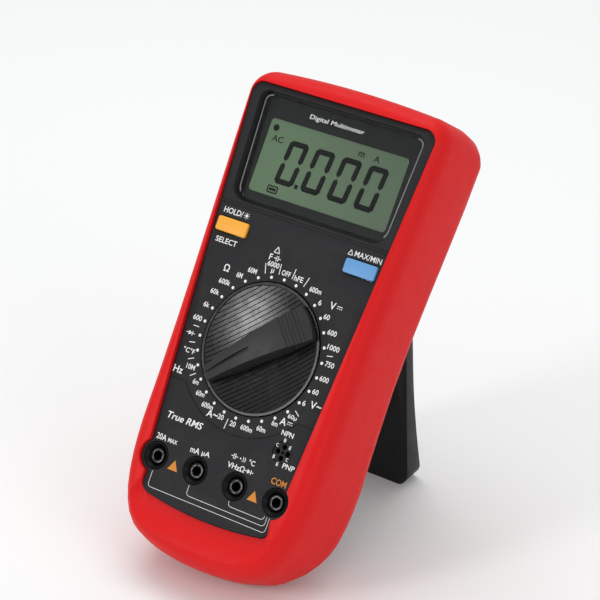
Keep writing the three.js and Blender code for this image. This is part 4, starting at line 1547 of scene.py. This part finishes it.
@dataclass
class Display:
    """The display's mask, the segments on its cell and a painted highlight along the lens's edges. Sizes are
    in millimetres.
    """

    shop: Workshop
    view_width: float = 61.4
    view_height: float = 28.1
    view_y: float = 68.3
    view_corner: float = 1.5
    margin: float = 0.3
    mask_thickness: float = 0.12
    digit_width: float = 7.9
    digit_height: float = 17.0
    digit_pitch: float = 11.85
    first_x: float = -16.2
    digit_y: float = 67.9
    bar: float = 2.1
    lean: float = 0.09
    gap: float = 0.28
    split: float = 1.15
    # How wide the painted highlight along the lens's edges is.
    glint_line: float = 0.4
    corner: float = 3.2

    def mask(self) -> None:
        """Makes the black mask under the lens."""
        low, high = self.shop.extent("display_lens")
        glass_top = self.shop.extent("lcd_glass")[1].z
        piece = self.shop.on_board("display_lens", "display_mask_plate")
        middle = (low + high) / 2
        span = high - low
        target = Vector((span.x - 2 * self.margin, span.y - 2 * self.margin, self.mask_thickness))
        shrink = [target[k] / span[k] for k in range(3)]
        piece.data.transform(Matrix.Translation(-middle * MM))
        piece.data.transform(Matrix.Diagonal((*shrink, 1)))
        seat = Vector((middle.x, middle.y, (glass_top + low.z) / 2))
        piece.data.transform(Matrix.Translation(seat * MM))
        half_x, half_y = self.view_width / 2, self.view_height / 2
        window = block(
            "window", (-half_x, self.view_y - half_y, -THROUGH), (half_x, self.view_y + half_y, THROUGH)
        )
        pick(window, Part.EDGE, lambda centre, way: abs(way.z) > 0.9)
        bpy.ops.mesh.bevel(offset=self.view_corner * MM, segments=6)
        done()
        combine(piece, window)
        self.shop.fit(piece, Body.METER, Slot.BLACK, look=self.shop.mask)

    def bar_piece(
        self, start: Sequence[float], end: Sequence[float], level: Sequence[float]
    ) -> bpy.types.Object:
        """One segment with pointed ends.

        Args:
            start: Where it starts.
            end: Where it ends.
            level: Its underside and top.

        Returns:
            The segment.
        """
        way = Vector(end) - Vector(start)
        long = way.length / 2 + self.bar / 2 - self.gap
        piece = block("bar", (-long, -self.bar / 2, level[0]), (long, self.bar / 2, level[1]))
        pick(piece, Part.EDGE, lambda centre, direction: abs(direction.z) > 0.9)
        bpy.ops.mesh.bevel(offset=self.bar * 0.46 * MM, segments=1)
        done()
        middle = (Vector(start) + Vector(end)) / 2
        turn = Matrix.Rotation(math.atan2(way.y, way.x), 4, "Z")
        piece.data.transform(Matrix.Translation(Vector((middle.x, middle.y, 0)) * MM) @ turn)
        return piece

    def nought(self, x: float, level: Sequence[float]) -> bpy.types.Object:
        """The six segments of a nought.

        Args:
            x: Its centre across.
            level: The segments' underside and top.

        Returns:
            The digit.
        """
        half = Vector(((self.digit_width - self.bar) / 2 + 0.35, (self.digit_height - self.bar) / 2))
        bars = []
        for side in (-1, 1):
            for low, high in ((-half.y, -self.split), (self.split, half.y)):
                bars.append(self.bar_piece((side * half.x, low), (side * half.x, high), level))
            bars.append(self.bar_piece((-half.x, side * half.y), (half.x, side * half.y), level))
        digit = gather("nought", bars)
        lean = Matrix.Identity(4)
        lean[0][1] = self.lean
        digit.data.transform(Matrix.Translation(Vector((x, self.digit_y, 0)) * MM) @ lean)
        return digit

    def segments(self) -> None:
        """Makes the digits, the decimal point and the small signs."""
        top = self.shop.extent("lcd_glass")[1].z
        sheet = Sheet(top - 0.01, top + 0.04)
        level = (sheet.low, sheet.high)
        for place in range(4):
            sheet.marks.append(self.nought(self.first_x + place * self.digit_pitch, level))
        point = block("point", (-0.8, -0.8, sheet.low), (0.8, 0.8, sheet.high))
        point.data.transform(Matrix.Translation(Vector((self.first_x + 5.1, 60.3, 0)) * MM))
        sheet.marks.append(point)
        sheet.word("AC", -25.5, 75.2, 2.4, 5.0)
        sheet.dot(-27.7, 79.1, 1.3, 24)
        sheet.word("m", 10.8, 78.8, 1.9, 2.6)
        sheet.word("A", 17.6, 78.8, 2.4, 2.6)
        sheet.path([(-22.6, 55.6), (-18.4, 55.6), (-18.4, 58.0), (-22.6, 58.0)], 0.5, closed=True)
        sheet.stroke((-22.0, 56.8), (-19.0, 56.8), 1.0)
        piece = sheet.bind("lcd_segments")
        self.shop.fit(piece, Body.METER, Slot.LCD, look=self.shop.segment_ink)

    def edges(self) -> None:
        """Makes the painted highlight: a light grey line along the lens's polished sides, where they catch
        the light.
        """
        low, high = self.shop.extent("display_lens")
        middle, span = (low + high) / 2, high - low
        layers = []
        for inset, thick in ((0.2, 0.08), (0.2 + self.glint_line, 1.0)):
            layer = self.shop.on_board("display_lens", "lens_painted_glint")
            layer.data.transform(Matrix.Translation(-middle * MM))
            share = ((span.x - 2 * inset) / span.x, (span.y - 2 * inset) / span.y, thick / span.z)
            layer.data.transform(Matrix.Diagonal((*share, 1)))
            layer.data.transform(Matrix.Translation(Vector((middle.x, middle.y, high.z)) * MM))
            layers.append(layer)
        piece, inner = layers
        combine(piece, inner)
        reach = span.x / 2 - self.corner
        start = (middle.x - reach, low.y - CLEAR, -THROUGH)
        gap = block("gap", start, (middle.x + reach, high.y + CLEAR, THROUGH))
        combine(piece, gap)
        # The ring gets the light grey of the painted highlight.
        self.shop.fit(piece, Body.METER, Slot.LENS, look=self.shop.glint_line)

    def build(self) -> None:
        """Makes the mask, the segments and the painted highlight along the lens's edges."""
        self.mask()
        self.edges()
        self.segments()


# ---------------------------------------------------------------- studio


@dataclass
class Studio:
    """Floor, lights and camera. Sizes are in metres."""

    shop: Workshop
    eye: tuple[float, float, float] = (0.4939, -0.6564, 0.4710)
    look: tuple[float, float, float] = (-0.5146, 0.7097, -0.4810)
    lens: float = 156.27

    def floor(self) -> None:
        """Lays the floor."""
        bpy.ops.object.select_all(action="DESELECT")
        bpy.ops.mesh.primitive_plane_add(size=14, location=(0, 0, 0))
        floor = bpy.context.object
        floor.name = "studio_floor"
        floor.data.materials.append(Ground().build("studio_floor"))

    def lamp(
        self, name: str, place: Sequence[float], size: Sequence[float], power: float, aim: Sequence[float]
    ) -> None:
        """Hangs one soft light.

        Args:
            name: Its name.
            place: Where it hangs.
            size: Its width and height.
            power: Its power in watts.
            aim: What it points at.
        """
        data = bpy.data.lights.new(name, "AREA")
        data.shape = "RECTANGLE"
        data.size, data.size_y = size
        data.energy = power
        lamp = bpy.data.objects.new(name, data)
        lamp.location = place
        lamp.rotation_mode = "QUATERNION"
        lamp.rotation_quaternion = (Vector(aim) - Vector(place)).to_track_quat("-Z", "Y")
        bpy.context.scene.collection.objects.link(lamp)

    def lights(self) -> None:
        """Hangs the lights and sets the pale surroundings."""
        world = bpy.data.worlds.new("studio")
        bpy.context.scene.world = world
        world.use_nodes = True
        ground = world.node_tree.nodes["Background"]
        ground.inputs["Color"].default_value = (0.98, 0.985, 0.99, 1.0)
        ground.inputs["Strength"].default_value = 0.6
        aim = (0, 0, 0.09)
        self.lamp("soft_top", (-0.25, 0.35, 1.25), (1.1, 0.8), 8, aim)
        self.lamp("soft_right", (1.2, -0.35, 0.6), (0.7, 0.7), 3.5, aim)
        self.lamp("soft_front", (-0.485, -1.01, 0.55), (0.24, 0.32), 3.8, aim)

    def camera(self) -> None:
        """Sets the camera."""
        data = bpy.data.cameras.new("camera")
        data.lens = self.lens
        data.sensor_width = 36
        data.clip_start, data.clip_end = 0.01, 50
        camera = bpy.data.objects.new("camera", data)
        camera.location = self.shop.centre + Vector(self.eye)
        camera.rotation_mode = "QUATERNION"
        camera.rotation_quaternion = Vector(self.look).to_track_quat("-Z", "Y")
        bpy.context.scene.collection.objects.link(camera)
        bpy.context.scene.camera = camera

    def build(self) -> None:
        """Sets up the studio."""
        self.floor()
        self.lights()
        self.camera()
        bpy.context.scene.view_settings.view_transform = "Standard"


def main() -> None:
    """Builds the whole scene."""
    logging.basicConfig(level=logging.INFO, format="%(message)s")
    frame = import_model()
    shop = Workshop(frame)
    shop.dress_nodes()
    assemblies = [
        Holster(shop),
        Panel(shop),
        SelectorKnob(shop),
        PressKey(shop, "hold_button", Body.HOLD, Slot.YELLOW),
        PressKey(shop, "maxmin_button", Body.MAXMIN, Slot.BLUE),
        InputJacks(shop),
        TransistorSocket(shop),
        Display(shop),
        FacePrint(shop),
        TiltStand(shop),
        Studio(shop),
    ]
    for assembly in assemblies:
        assembly.build()


if __name__ == "__main__":
    main()
